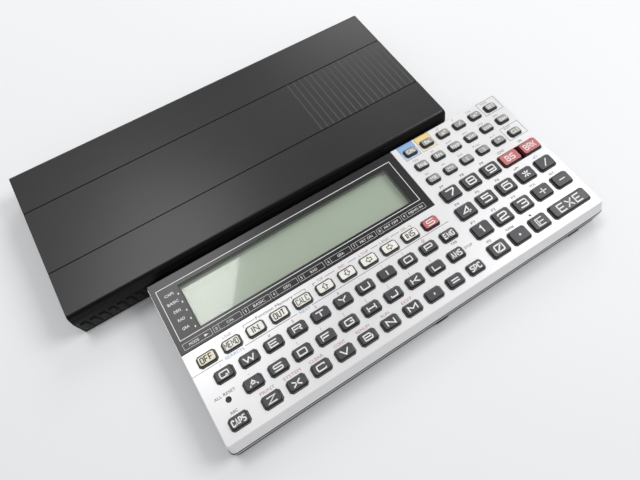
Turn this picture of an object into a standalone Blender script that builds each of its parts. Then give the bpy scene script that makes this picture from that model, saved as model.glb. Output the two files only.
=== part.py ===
"""A pocket computer with its slide-on hard case taken off and lying behind it.

Metres, +Z up. The origin is on the table, under the middle of the whole group's
bounding box. X runs along the computer, from its left end to its right end, and Y
runs from its front edge to its rear edge.

Each piece of the computer is drawn in the computer's own frame: x from the middle of
the body, y from the middle of the body, z from the table. Places on the top face are
given as distances from the body's left end and rear edge, and to_x and to_y turn them
into that frame.
"""
import math

import bmesh
import bpy
from mathutils import Matrix, Vector

# Shared clearances and walls
gap = 0.0003
seam = 0.0003
overrun = 0.001
round_sides = 10

# Computer body
body_width = 0.193
body_depth = 0.0776
body_height = 0.0132
foot_height = 0.0006
parting_height = 0.0088
wall = 0.0016
floor_thickness = 0.0016
top_thickness = 0.0014
corner_radius = 0.0022
corner_steps = 3
corner_draw = 0.001

# Upper case
rim_inset = 0.0003
lip_height = 0.0004
front_slope_run = 0.0026
side_taper = 0.0001
top_edge_round = 0.0004
shelf_thickness = 0.0016

# Display
panel_width_share = 0.66218
panel_depth_share = 0.45232
panel_thickness = 0.0008
view_left = 0.0122
view_rear = 0.0067
view_right_border = 0.0079
view_front_border = 0.0072
lens_border = 0.0012
glass_border = 0.0028
glass_thickness = 0.0007
glass_ledge = 0.0022
lcd_frame_wall = 0.0013
strip_width = 0.0018

# Keys
key_travel = 0.0009
key_clearance = 0.0003
flange_overhang = 0.0005
flange_thickness = 0.0012
key_shoulder = 0.0006
key_rise = 0.0013
key_corner = 0.0007
key_side_bevel = 0.0006
key_front_bevel = 0.0008

# Room between and round the keys
letter_columns = 11
letter_rows = 4
letter_gap = (0.00314, 0.00412)
letter_margin = 0.005145
letter_stagger = 0.0031
letter_to_panel_end = 0.000705
letter_front_margin = 0.006535
function_row_gap = 0.003805
number_columns = 5
number_rows = 4
number_gap = (0.00239, 0.00433)
number_margin = 0.003805
number_to_panel = 0.004685
number_rear_share = 0.40103
number_front_margin = 0.00709
red_key_gap = 0.0015
red_key_reach = (0.00055, 0.0011)
small_columns = 6
small_rows = 3
small_gap = (0.0033, 0.0048)
small_margin = 0.00465
small_to_panel = 0.00445
small_rear_margin = 0.003955
small_to_number = 0.005055

# Reset button
reset_radius = 0.00095
reset_flange_radius = 0.002
reset_depth = 0.0006

# Boards and what they carry
board_thickness = 0.001
main_board_left = 0.009
main_board_rear = 0.0052
main_board_end_gap = 0.0023
main_board_front_gap = 0.0009
main_board_top = 0.006
key_board_left = 0.006
key_board_rear = 0.003
key_board_end_gap = 0.0026
key_board_front_gap = 0.0077
key_board_to_panel = (0.003, 0.0015)
key_board_top = 0.0074
mat_sheet = 0.0008
mat_inset = 0.0012
dome_foot = 0.0036
dome_head = 0.0022
mat_split = 0.0004
chip_height = 0.0013
chip_sizes = ((0.016, 0.016), (0.012, 0.018), (0.012, 0.018), (0.008, 0.01))
chip_left_shares = (0.18, 0.4, 0.575, 0.78)
ribbon_left = 0.05
ribbon_width = 0.03
ribbon_thickness = 0.0003
ribbon_end = 0.0015
buzzer_radius = 0.009
buzzer_thickness = 0.0006
buzzer_x = 0.034

# Fasteners and feet
screw_radius = 0.0006
screw_hole_radius = 0.0009
screw_head_radius = 0.0017
screw_head_height = 0.0007
counterbore_radius = 0.002
counterbore_depth = 0.001
screw_recess = 0.0001
screw_length = 0.0098
slot_width = 0.0005
slot_depth = 0.0003
boss_radius = 0.0019
post_radius = 0.0013
pillar_radius = 0.0012
screw_inset_x = 0.0044
screw_inset_y = 0.0034
screw_front_inset = 0.0046
foot_length = 0.13
foot_width = 0.0035
foot_seat = 0.0005
foot_inset_y = 0.0105

# Rails for the hard case
rail_foot = 0.001
rail_height = 0.002
rail_depth = 0.0015
rail_wall = 0.0019
lug_width = 0.0063
lug_rise = 0.0004
lug_left_shares = (0.508, 0.909)

# Battery compartment
cell_radius = 0.01
cell_thickness = 0.0032
cell_pitch = 0.022
cell_from_end = 0.029
cell_from_middle = 0.0072
cell_can_step = 0.0012
cell_room = 0.001
cover_thickness = 0.0013
cover_lip = 0.0006
cover_tongue = 0.0009
cover_tongue_thickness = 0.0004
compartment_wall = 0.0014
compartment_height = 0.0037
contact_width = 0.004
contact_thickness = 0.0003
grip_groove_depth = 0.0003
grip_groove_width = 0.0008
grip_groove_pitch = 0.0016
grip_groove_count = 5
backup_radius = 0.00625
backup_thickness = 0.002
backup_to_cells = 0.038

# Expansion connector
connector_rear = 0.007
connector_length = 0.038
connector_depth = 0.0067
connector_height = 0.0036
port_border = 0.001
port_height = 0.0028
port_drop = 0.0007
slot_border = 0.002
slot_height = 0.0018
socket_depth = 0.0045
cap_thickness = 0.0013
tongue_depth = 0.0016
tongue_inset = 0.0006

# Contrast dial
dial_radius = 0.0039
dial_proud = 0.0003
dial_thickness = 0.0016
dial_to_screw = 0.00855
dial_bottom = 0.0036
dial_teeth = 20
dial_tooth_depth = 0.0002
spindle_radius = 0.0008
shoulder_radius = 0.0016
dial_slot_room = 0.0005

# Hard case
case_length = 0.195
case_top_width = 0.0777
case_height = 0.0162
case_plate = 0.0018
case_wall = 0.002
case_band_run = 0.0021
case_band_drop = 0.0026
case_wall_out = 0.0029
case_wall_drop = 0.0052
case_lip_reach = 0.0022
case_lip_height = 0.0014
panel_groove_inset = 0.0218
panel_groove_width = 0.0005
panel_groove_depth = 0.0004
cross_groove_start = 0.1365
cross_groove_pitch = 0.0034
cross_groove_width = 0.0009
cross_groove_depth = 0.0003
grip_rib_rise = 0.0007
grip_rib_pitch = 0.0041
grip_rib_width = 0.003
grip_rib_top = 0.0066
grip_rib_bottom = 0.0133
grip_rib_bevel = 0.0005
case_shift_x = -0.0319
case_clear_y = 0.0006


# Frames

def to_x(distance_from_left):
    """Computer frame x of a distance from the body's left end."""
    return distance_from_left - body_width / 2


def to_y(distance_from_rear):
    """Computer frame y of a distance from the body's rear edge."""
    return body_depth / 2 - distance_from_rear


# Places of the display, from the left end and the rear edge
panel_right = body_width * panel_width_share
panel_front = body_depth * panel_depth_share
view_width = panel_right - view_left - view_right_border
view_depth = panel_front - view_rear - view_front_border

# Pitches, sizes and first places of the letter block
letter_pitch = (panel_right - letter_to_panel_end - letter_margin - letter_stagger
                + letter_gap[0]) / letter_columns
letter_row_pitch = (body_depth - letter_front_margin - panel_front - function_row_gap
                    + letter_gap[1]) / letter_rows
letter_size = (letter_pitch - letter_gap[0], letter_row_pitch - letter_gap[1])
letter_column = letter_margin + letter_size[0] / 2
function_row = panel_front + function_row_gap + letter_size[1] / 2

# Pitches, sizes and first places of the number block
number_rear = body_depth * number_rear_share
number_pitch = (body_width - number_margin - panel_right - number_to_panel
                + number_gap[0]) / number_columns
number_row_pitch = (body_depth - number_front_margin - number_rear
                    + number_gap[1]) / number_rows
number_size = (number_pitch - number_gap[0], number_row_pitch - number_gap[1])
number_column = panel_right + number_to_panel + number_size[0] / 2
number_row = number_rear + number_size[1] / 2
long_key_width = 2 * number_pitch - number_gap[0]
red_key_width = (long_key_width + sum(red_key_reach) - red_key_gap) / 2

# Pitches, sizes and first places of the small keys
small_pitch = (body_width - small_margin - panel_right - small_to_panel
               + small_gap[0]) / small_columns
small_row_pitch = (number_rear - small_to_number - small_rear_margin
                   + small_gap[1]) / small_rows
small_size = (small_pitch - small_gap[0], small_row_pitch - small_gap[1])
small_column = panel_right + small_to_panel + small_size[0] / 2
small_row = small_rear_margin + small_size[1] / 2

# Places of the inner pieces, from the left end and the rear edge
reset_row = function_row + 2 * letter_row_pitch
main_board_right = panel_right - main_board_end_gap
main_board_front = panel_front - main_board_front_gap
key_board_right = body_width - key_board_end_gap
key_board_front = body_depth - key_board_front_gap
key_board_corner_x = panel_right + key_board_to_panel[0]
key_board_corner_y = panel_front + key_board_to_panel[1]
key_block_middle = (panel_front + body_depth) / 2
cell_middle_x = body_width - cell_from_end
cell_middle_y = body_depth / 2 + cell_from_middle
backup_x = cell_middle_x - cell_pitch / 2 - cell_radius - backup_to_cells
screw_between_rows = number_rear - small_to_number / 2
dial_y = screw_between_rows - dial_to_screw

# Place of the computer and of its case on the table
case_reach = case_wall_out + grip_rib_rise
case_depth = case_top_width + 2 * case_reach
case_middle_x = case_shift_x + case_length / 2 - body_width / 2
case_middle_y = body_depth / 2 + case_clear_y + case_depth / 2
group_left = case_middle_x - case_length / 2
group_right = body_width / 2 + dial_proud
group_front = -body_depth / 2 - lug_rise
group_rear = case_middle_y + case_depth / 2
computer_place = Vector((-(group_left + group_right) / 2, -(group_front + group_rear) / 2, 0))
case_place = computer_place + Vector((case_middle_x, case_middle_y, 0))

# Heights that several pieces share
floor_top = foot_height + floor_thickness
upper_bottom = parting_height + seam
slope_bottom = upper_bottom + lip_height
slope_top = body_height - top_edge_round
key_ceiling = body_height - top_thickness
panel_floor = body_height - panel_thickness - gap
shelf_bottom = panel_floor - shelf_thickness
glass_top = shelf_bottom - gap
glass_bottom = glass_top - 2 * glass_thickness
flange_top = key_ceiling - gap
flange_bottom = flange_top - flange_thickness
dome_top = flange_bottom - key_travel - gap
mat_bottom = key_board_top + gap
cell_bottom = foot_height + cover_thickness + gap + seam
cell_top = cell_bottom + cell_thickness
slope_height = body_height - slope_bottom


def screw_places():
    """Names and places of the four case screws, in the computer frame."""
    key_edge = letter_column + letter_size[0] / 2
    next_edge = letter_column + letter_pitch + letter_stagger - letter_size[0] / 2
    front = to_y(body_depth - screw_front_inset)
    return {"screw_rear_left": (to_x(screw_inset_x), to_y(screw_inset_y)),
            "screw_rear_right": (to_x(body_width - screw_inset_x), to_y(screw_between_rows)),
            "screw_front_left": (to_x((key_edge + next_edge) / 2), front),
            "screw_front_right": (to_x(body_width - number_margin - number_size[0] / 2), front)}


# Modelling helpers

def outline(x0, x1, y0, y1, radius=0.0, steps=0):
    """Corner points of a rectangle, anticlockwise from above, with rounded corners."""
    if not steps:
        return [(x0, y0), (x1, y0), (x1, y1), (x0, y1)]
    centres = [(x0 + radius, y0 + radius, 180), (x1 - radius, y0 + radius, 270),
               (x1 - radius, y1 - radius, 0), (x0 + radius, y1 - radius, 90)]
    points = []
    for cx, cy, start in centres:
        for step in range(steps + 1):
            angle = math.radians(start + 90 * step / steps)
            points.append((cx + radius * math.cos(angle), cy + radius * math.sin(angle)))
    return points


def circle(x, y, radius, sides=round_sides):
    """Points of a circle, anticlockwise from above."""
    turns = [2 * math.pi * (i + 0.5) / sides for i in range(sides)]
    return [(x + radius * math.cos(t), y + radius * math.sin(t)) for t in turns]


def loft(bm, rings):
    """Closed solid through (outline, height) rings, from the lowest to the highest."""
    loops = [[bm.verts.new((x, y, z)) for x, y in points] for points, z in rings]
    for lower, upper in zip(loops, loops[1:]):
        for i in range(len(lower)):
            j = (i + 1) % len(lower)
            bm.faces.new((lower[i], lower[j], upper[j], upper[i]))
    bm.faces.new(list(reversed(loops[0])))
    bm.faces.new(loops[-1])


def prism(bm, points, bottom, top):
    """Closed upright solid with one outline."""
    loft(bm, [(points, bottom), (points, top)])


def extrude_profile(bm, profile, x0, x1):
    """Closed solid from a (y, z) profile, anticlockwise seen from +X, drawn along X."""
    near = [bm.verts.new((x0, y, z)) for y, z in profile]
    far = [bm.verts.new((x1, y, z)) for y, z in profile]
    for i in range(len(profile)):
        j = (i + 1) % len(profile)
        bm.faces.new((near[i], near[j], far[j], far[i]))
    bm.faces.new(list(reversed(near)))
    bm.faces.new(far)


def new_object(name, bm):
    """Object in the scene that holds the finished bmesh."""
    mesh = bpy.data.meshes.new(name)
    bm.to_mesh(mesh)
    bm.free()
    thing = bpy.data.objects.new(name, mesh)
    bpy.context.scene.collection.objects.link(thing)
    return thing


def carve(target, tool, operation="DIFFERENCE"):
    """Cuts the tool out of the target, or joins it on, and removes the tool."""
    modifier = target.modifiers.new(operation.lower(), "BOOLEAN")
    modifier.operation = operation
    modifier.solver = "EXACT"
    modifier.object = tool
    graph = bpy.context.evaluated_depsgraph_get()
    shaped = bpy.data.meshes.new_from_object(target.evaluated_get(graph))
    target.modifiers.remove(modifier)
    old = target.data
    target.data = shaped
    bpy.data.meshes.remove(old)
    tool_mesh = tool.data
    bpy.data.objects.remove(tool)
    bpy.data.meshes.remove(tool_mesh)


def plastic(name, colour, roughness, metallic=0.0):
    """Principled material with a plain colour."""
    finish = bpy.data.materials.new(name)
    finish.use_nodes = True
    shader = finish.node_tree.nodes["Principled BSDF"]
    shader.inputs["Base Color"].default_value = (*colour, 1)
    shader.inputs["Roughness"].default_value = roughness
    shader.inputs["Metallic"].default_value = metallic
    return finish


def settle(thing, frame, finish, pivot=(0, 0, 0)):
    """Hangs a piece on its frame, with its origin at the pivot, and gives its finish."""
    thing.data.transform(Matrix.Translation(-Vector(pivot)))
    thing.parent = frame
    thing.location = pivot
    thing.data.materials.clear()
    thing.data.materials.append(finish)
    return thing


def frame_at(name, place):
    """Empty that carries the pieces of one half of the group."""
    empty = bpy.data.objects.new(name, None)
    empty.location = place
    bpy.context.scene.collection.objects.link(empty)
    return empty


# Key layout

def row_of(names, column, pitch, row, size, overhang=flange_overhang):
    """Evenly spaced keys of one size, as (name, x, y, width, depth, side overhang)."""
    return [(name, column + i * pitch, row, *size, overhang) for i, name in enumerate(names)]


def red_pair():
    """The two red keys that stand side by side in one opening."""
    pitch = red_key_width + red_key_gap
    first = body_width - number_margin + red_key_reach[1] - red_key_width / 2 - pitch
    return row_of(("key_backspace", "key_break"), first, pitch, number_row,
                  (red_key_width, number_size[1]), 0.0)


def number_keys():
    """The nineteen keys of the number block."""
    rows = (("key_7", "key_8", "key_9"),
            ("key_4", "key_5", "key_6", "key_multiply", "key_divide"),
            ("key_1", "key_2", "key_3", "key_plus", "key_minus"),
            ("key_0", "key_point", "key_exponent"))
    keys = []
    for i, names in enumerate(rows):
        keys += row_of(names, number_column, number_pitch, number_row + i * number_row_pitch,
                       number_size)
    keys += row_of(("key_execute",), body_width - number_margin - long_key_width / 2, 0,
                   number_row + (number_rows - 1) * number_row_pitch,
                   (long_key_width, number_size[1]))
    return keys + red_pair()


def function_keys():
    """The row of light keys below the display, the last of them red."""
    names = ("key_off", "key_memo", "key_in", "key_out", "key_calc", "key_up", "key_down",
             "key_left", "key_right", "key_insert", "key_shift")
    return row_of(names, letter_column, letter_pitch, function_row, letter_size)


def letter_keys():
    """The three rows of letter keys, with one key apart at the front left."""
    second = letter_column + letter_pitch
    rows = [function_row + i * letter_row_pitch for i in range(1, letter_rows)]
    full, short = range(letter_columns), range(letter_columns - 1)
    top = row_of(full, letter_column + letter_stagger, letter_pitch, rows[0], letter_size)
    middle = row_of(short, second, letter_pitch, rows[1], letter_size)
    front = row_of(short, second + letter_stagger, letter_pitch, rows[2], letter_size)
    return top + middle + front + row_of(range(1), letter_column, 0, rows[2], letter_size)


def small_keys():
    """The three rows of small keys."""
    keys = []
    for i in range(small_rows):
        keys += row_of(range(small_columns), small_column, small_pitch,
                       small_row + i * small_row_pitch, small_size)
    return keys


def every_key():
    """All the keys of the computer, whatever node they are in."""
    return number_keys() + function_keys() + letter_keys() + small_keys()


def key_openings():
    """Openings of the upper case, as keys; the red pair shares one."""
    first, second = red_pair()
    shared = (first[0], (first[1] + second[1]) / 2, *first[2:])
    shared = (*shared[:3], first[3] + second[1] - first[1], *shared[4:])
    return [key for key in every_key() if key not in (first, second)] + [shared]


def opening_outline(key):
    """Outline of the opening that a key stands in."""
    _, x, y, width, depth, _ = key
    half = width / 2 + key_clearance
    reach = depth / 2 + key_clearance
    return outline(to_x(x) - half, to_x(x) + half, to_y(y) - reach, to_y(y) + reach,
                   key_corner + key_clearance, 1)


def key_outline(key, grow=0.0, front=0.0, corner=key_corner, side_grow=None):
    """Outline of a key, grown on all sides, with its front drawn in further."""
    _, x, y, width, depth, _ = key
    half = width / 2 + (grow if side_grow is None else side_grow)
    reach = depth / 2 + grow
    return outline(to_x(x) - half, to_x(x) + half, to_y(y) - reach + front, to_y(y) + reach,
                   corner, 1)


# Upper case and display

def upper_rings(inset, levels):
    """Rings of the upper case, drawn in by an inset, at the given heights."""
    rings = []
    for z in levels:
        climb = max(0.0, z - slope_bottom) / slope_height
        side = body_width / 2 - rim_inset - inset - side_taper * climb
        front = -body_depth / 2 + rim_inset + inset + front_slope_run * climb
        rear = body_depth / 2 - rim_inset - inset - side_taper * climb
        radius = max(corner_radius - corner_draw * climb - inset, gap)
        rings.append((outline(-side, side, front, rear, radius, corner_steps), z))
    return rings


def make_upper_case():
    """Bright shell with its sloped front, display shelf, key openings and screw posts."""
    bm = bmesh.new()
    rings = upper_rings(0, (upper_bottom, slope_bottom, slope_top))
    top = upper_rings(top_edge_round, (body_height,))
    loft(bm, rings + top)
    shell = new_object("upper_case", bm)

    bm = bmesh.new()
    loft(bm, upper_rings(wall, (upper_bottom - overrun, slope_bottom, shelf_bottom)))
    carve(shell, new_object("inside", bm))

    pocket_front = -body_depth / 2 + wall + front_slope_run + rim_inset
    inner_right = body_width / 2 - rim_inset - 2 * gap - wall
    inner_rear = body_depth / 2 - rim_inset - gap - wall
    block_left = to_x(panel_right + wall + gap)
    for x0, x1, rear in ((-inner_right, block_left + overrun, to_y(panel_front + wall)),
                         (block_left, inner_right, inner_rear)):
        bm = bmesh.new()
        prism(bm, outline(x0, x1, pocket_front, rear), shelf_bottom - overrun, key_ceiling)
        carve(shell, new_object("key_pocket", bm))

    bm = bmesh.new()
    for x, y in screw_places().values():
        prism(bm, circle(x, y, post_radius), upper_bottom - gap, key_ceiling + gap)
    carve(shell, new_object("posts", bm), "UNION")

    bm = bmesh.new()
    for x, y in screw_places().values():
        prism(bm, circle(x, y, screw_hole_radius), upper_bottom - overrun, shelf_bottom)
    for key in key_openings():
        prism(bm, opening_outline(key), shelf_bottom, body_height + overrun)
    prism(bm, circle(to_x(letter_column), to_y(reset_row), reset_radius + gap), shelf_bottom,
          body_height + overrun)
    carve(shell, new_object("openings", bm))

    bm = bmesh.new()
    prism(bm, outline(-body_width / 2 - overrun, to_x(panel_right), to_y(panel_front),
                      body_depth / 2 + overrun), panel_floor, body_height + overrun)
    carve(shell, new_object("panel_seat", bm))
    bm = bmesh.new()
    prism(bm, view_outline(0), shelf_bottom - overrun, body_height)
    carve(shell, new_object("view_opening", bm))
    return shell


def view_outline(border):
    """Outline of the part of the display that shows, with a border round it."""
    return outline(to_x(view_left) - border, to_x(view_left + view_width) + border,
                   to_y(view_rear + view_depth) - border, to_y(view_rear) + border)


def make_display_panel():
    """Dark front plate of the display, with the opening for its lens."""
    bm = bmesh.new()
    side = body_width / 2 - rim_inset - top_edge_round
    points = outline(-side, to_x(panel_right) - gap, to_y(panel_front) + gap,
                     body_depth / 2 - rim_inset - top_edge_round)
    prism(bm, points, body_height - panel_thickness, body_height)
    plate = new_object("display_panel", bm)
    bm = bmesh.new()
    prism(bm, view_outline(lens_border + gap), key_ceiling - overrun, body_height + overrun)
    carve(plate, new_object("lens_opening", bm))
    return plate


def make_display_window():
    """Clear lens that lies on the shelf, flush with the front plate."""
    bm = bmesh.new()
    prism(bm, view_outline(lens_border), body_height - panel_thickness, body_height)
    return new_object("display_window", bm)


def make_lcd_glass():
    """Two bonded glass plates, the lower one wider to carry the contact edges."""
    bm = bmesh.new()
    lower = view_outline(glass_border)
    y_front = lower[0][1] + glass_ledge
    y_rear = lower[2][1] - glass_ledge
    upper = [(x, y_front if y < to_y(view_rear + view_depth) else y_rear) for x, y in lower]
    middle = glass_bottom + glass_thickness
    loft(bm, [(lower, glass_bottom), (lower, middle), (upper, middle), (upper, glass_top)])
    return new_object("lcd_glass", bm)


def make_lcd_frame():
    """Frame round the glass that stands on the main board."""
    bm = bmesh.new()
    prism(bm, view_outline(glass_border + gap + lcd_frame_wall), main_board_top + gap, glass_top)
    frame = new_object("lcd_frame", bm)
    bm = bmesh.new()
    prism(bm, view_outline(glass_border + gap), main_board_top - overrun, glass_top + overrun)
    carve(frame, new_object("glass_room", bm))
    return frame


def make_elastomer_strip(name, at_front):
    """Rubber contact strip pressed between one edge of the glass and the main board."""
    points = view_outline(glass_border)
    front = points[0][1] + gap if at_front else points[2][1] - gap - strip_width
    bm = bmesh.new()
    prism(bm, outline(points[0][0] + gap, points[1][0] - gap, front, front + strip_width),
          main_board_top + gap, glass_bottom - gap)
    return new_object(name, bm)


# Keys

def add_key(bm, key):
    """Key with a flange under the case top, a straight neck and a bevelled cap."""
    neck = key_outline(key)
    flange = key_outline(key, flange_overhang, side_grow=key[5])
    cap = key_outline(key, -key_side_bevel, key_front_bevel - key_side_bevel,
                      key_corner - gap)
    loft(bm, [(flange, flange_bottom), (flange, flange_top), (neck, flange_top),
              (neck, body_height + key_shoulder), (cap, body_height + key_rise)])


def make_key(key):
    """One key in a node of its own."""
    bm = bmesh.new()
    add_key(bm, key)
    return new_object(key[0], bm)


def add_moulded_key(bm, key):
    """Key that grows out of its rubber mat in one piece."""
    neck = key_outline(key)
    cap = key_outline(key, -key_side_bevel, key_front_bevel - key_side_bevel,
                      key_corner - gap)
    loft(bm, [(neck, mat_bottom + mat_sheet / 2), (neck, body_height + key_shoulder),
              (cap, body_height + key_rise)])


def make_reset_button():
    """Plunger behind the pinhole of the reset switch."""
    x, y = to_x(letter_column), to_y(reset_row)
    pin = circle(x, y, reset_radius)
    flange = circle(x, y, reset_flange_radius)
    bm = bmesh.new()
    loft(bm, [(flange, flange_bottom), (flange, flange_top), (pin, flange_top),
              (pin, body_height - reset_depth)])
    return new_object("reset_button", bm)


# Boards and electronics

def l_shape(inset):
    """Outline of the key board: the whole width in front, the right block behind."""
    return [(to_x(key_board_left) + inset, to_y(key_board_front) + inset),
            (to_x(key_board_right) - inset, to_y(key_board_front) + inset),
            (to_x(key_board_right) - inset, to_y(key_board_rear) - inset),
            (to_x(key_board_corner_x) + inset, to_y(key_board_rear) - inset),
            (to_x(key_board_corner_x) + inset, to_y(key_board_corner_y) - inset),
            (to_x(key_board_left) + inset, to_y(key_board_corner_y) - inset)]


def boss_holes(bm, bottom, top):
    """Cutters for the holes where the screw bosses pass through a board or mat."""
    for x, y in screw_places().values():
        prism(bm, circle(x, y, boss_radius + gap), bottom, top)


def add_dome(bm, x, y):
    """Rubber dome that a key presses on."""
    base = mat_bottom + mat_sheet
    rings = [(dome_foot, base - mat_sheet / 2), (dome_foot, base), (dome_head, dome_top)]
    loft(bm, [(outline(x - size / 2, x + size / 2, y - size / 2, y + size / 2), z)
              for size, z in rings])


def make_key_mat(name, edges, domes, keys):
    """Rubber sheet with domes under the moving keys and its own moulded keys."""
    bm = bmesh.new()
    prism(bm, outline(*edges), mat_bottom, mat_bottom + mat_sheet)
    mat = new_object(name, bm)
    bm = bmesh.new()
    for x, y in domes:
        add_dome(bm, to_x(x), to_y(y))
    for key in keys:
        add_moulded_key(bm, key)
    carve(mat, new_object("domes_and_keys", bm), "UNION")
    bm = bmesh.new()
    boss_holes(bm, mat_bottom - overrun, dome_top + overrun)
    carve(mat, new_object("boss_holes", bm))
    return mat


def block_line():
    """Line between the letter block and the number block, from the left end."""
    return panel_right + (number_to_panel - letter_to_panel_end) / 2


def make_letter_key_mat():
    """Mat under the light keys, with the letter keys moulded on it."""
    edges = (to_x(key_board_left) + mat_inset, to_x(block_line()) - mat_split,
             to_y(key_board_front) + mat_inset, to_y(key_board_corner_y) - mat_inset)
    domes = [key[1:3] for key in function_keys()] + [(letter_column, reset_row)]
    return make_key_mat("letter_key_mat", edges, domes, letter_keys())


def make_number_key_mat():
    """Mat under the number keys, with the small keys moulded on it."""
    edges = (to_x(block_line()) + mat_split, to_x(key_board_right) - mat_inset,
             to_y(key_board_front) + mat_inset, to_y(key_board_rear) - mat_inset)
    return make_key_mat("number_key_mat", edges, [key[1:3] for key in number_keys()],
                        small_keys())


def make_key_board():
    """Contact board under the rubber mat."""
    bm = bmesh.new()
    prism(bm, l_shape(0), key_board_top - board_thickness, key_board_top)
    board = new_object("key_board", bm)
    bm = bmesh.new()
    boss_holes(bm, key_board_top - board_thickness - overrun, key_board_top + overrun)
    carve(board, new_object("boss_holes", bm))
    return board


def make_main_board():
    """Board under the display, with the processor and memories on its lower face."""
    bm = bmesh.new()
    bottom = main_board_top - board_thickness
    prism(bm, outline(to_x(main_board_left), to_x(main_board_right), to_y(main_board_front),
                      to_y(main_board_rear)), bottom, main_board_top)
    board = new_object("main_board", bm)
    bm = bmesh.new()
    y = to_y((main_board_rear + main_board_front) / 2)
    for share, (width, depth) in zip(chip_left_shares, chip_sizes):
        x = to_x(main_board_left + share * (main_board_right - main_board_left))
        prism(bm, outline(x, x + width, y - depth / 2, y + depth / 2), bottom - chip_height,
              bottom + board_thickness / 2)
    carve(board, new_object("chips", bm), "UNION")
    return board


def make_board_ribbon():
    """Flat ribbon that climbs from the main board to the key board."""
    low = main_board_top + gap
    high = key_board_top + gap
    start = to_y(main_board_front) + ribbon_end
    foot = to_y(main_board_front) + gap
    head = to_y(key_board_corner_y) + gap
    end = to_y(key_board_corner_y) - mat_inset + gap
    under = [(start, low), (foot, low), (head, high), (end, high)]
    over = [(y, z + ribbon_thickness) for y, z in under]
    bm = bmesh.new()
    extrude_profile(bm, under + over[::-1], to_x(ribbon_left),
                    to_x(ribbon_left + ribbon_width))
    bmesh.ops.recalc_face_normals(bm, faces=bm.faces)
    return new_object("board_ribbon", bm)


def make_piezo_buzzer():
    """Thin sounder disc on the floor of the lower case."""
    x, y = to_x(buzzer_x), to_y(key_block_middle)
    bm = bmesh.new()
    bottom = floor_top + gap
    prism(bm, circle(x, y, buzzer_radius, round_sides), bottom, bottom + buzzer_thickness)
    return new_object("piezo_buzzer", bm)


def coin_cell(bm, x, y, radius, bottom, thickness, step):
    """Coin cell with its can stepped in towards the lower pole."""
    can = circle(x, y, radius, round_sides)
    pole = circle(x, y, radius - step, round_sides)
    loft(bm, [(pole, bottom), (pole, bottom + step / 2), (can, bottom + step / 2),
              (can, bottom + thickness)])


def make_main_cell(name, side):
    """One of the two coin cells that run the computer."""
    bm = bmesh.new()
    coin_cell(bm, to_x(cell_middle_x) + side * cell_pitch / 2, to_y(cell_middle_y),
              cell_radius, cell_bottom, cell_thickness, cell_can_step)
    return new_object(name, bm)


def make_backup_cell():
    """The smaller coin cell that keeps the memory."""
    bm = bmesh.new()
    coin_cell(bm, to_x(backup_x), to_y(key_block_middle), backup_radius, floor_top + gap,
              backup_thickness, cell_can_step)
    return new_object("backup_cell", bm)


def make_cell_contact():
    """Spring strip that joins the two cells, under the key board."""
    bm = bmesh.new()
    x, y = to_x(cell_middle_x), to_y(cell_middle_y)
    bottom = cell_top + gap
    reach = cell_pitch / 2 + cell_radius / 2
    prism(bm, outline(x - reach, x + reach, y - contact_width / 2, y + contact_width / 2),
          bottom, bottom + contact_thickness)
    return new_object("cell_contact", bm)


# Lower case and what it carries

def lower_rings(inset, levels, inset_y=0.0):
    """Rings of the lower case, drawn in by an inset on all sides and another at the rails."""
    rings = []
    for z in levels:
        side = body_width / 2 - inset
        reach = body_depth / 2 - inset - inset_y
        radius = max(corner_radius - inset, gap)
        rings.append((outline(-side, side, -reach, reach, radius, corner_steps), z))
    return rings


def compartment_outline(grow):
    """Outline of the battery compartment, grown on all sides."""
    half = cell_pitch / 2 + cell_radius + cell_room + grow
    reach = cell_radius + cell_room + grow
    x, y = to_x(cell_middle_x), to_y(cell_middle_y)
    return outline(x - half, x + half, y - reach, y + reach)


def cover_span(grow):
    """Ends of the cover's outline across the body."""
    reach = cell_radius + cell_room + grow
    return to_y(cell_middle_y) - reach, to_y(cell_middle_y) + reach


def pillar_places():
    """Places and heights of the pillars that the boards rest on."""
    main = main_board_top - board_thickness - gap
    keys = key_board_top - board_thickness - gap
    y_main = (main_board_rear + 2 * pillar_radius, main_board_front - 2 * pillar_radius)
    x_main = (main_board_left + 2 * pillar_radius, main_board_right - 2 * pillar_radius)
    rest = [(to_x(x), to_y(y), main) for x in x_main for y in y_main]
    front = key_board_front - 2 * pillar_radius
    middle = key_board_corner_y + 2 * pillar_radius
    rear = key_board_rear + 2 * pillar_radius
    ends = (key_board_left + connector_depth + 2 * pillar_radius,
            (key_board_left + key_board_right) / 2)
    rest += [(to_x(x), to_y(y), keys) for x in ends for y in (middle, front)]
    rest += [(to_x(key_board_corner_x + 2 * pillar_radius), to_y(rear), keys)]
    return rest


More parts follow.
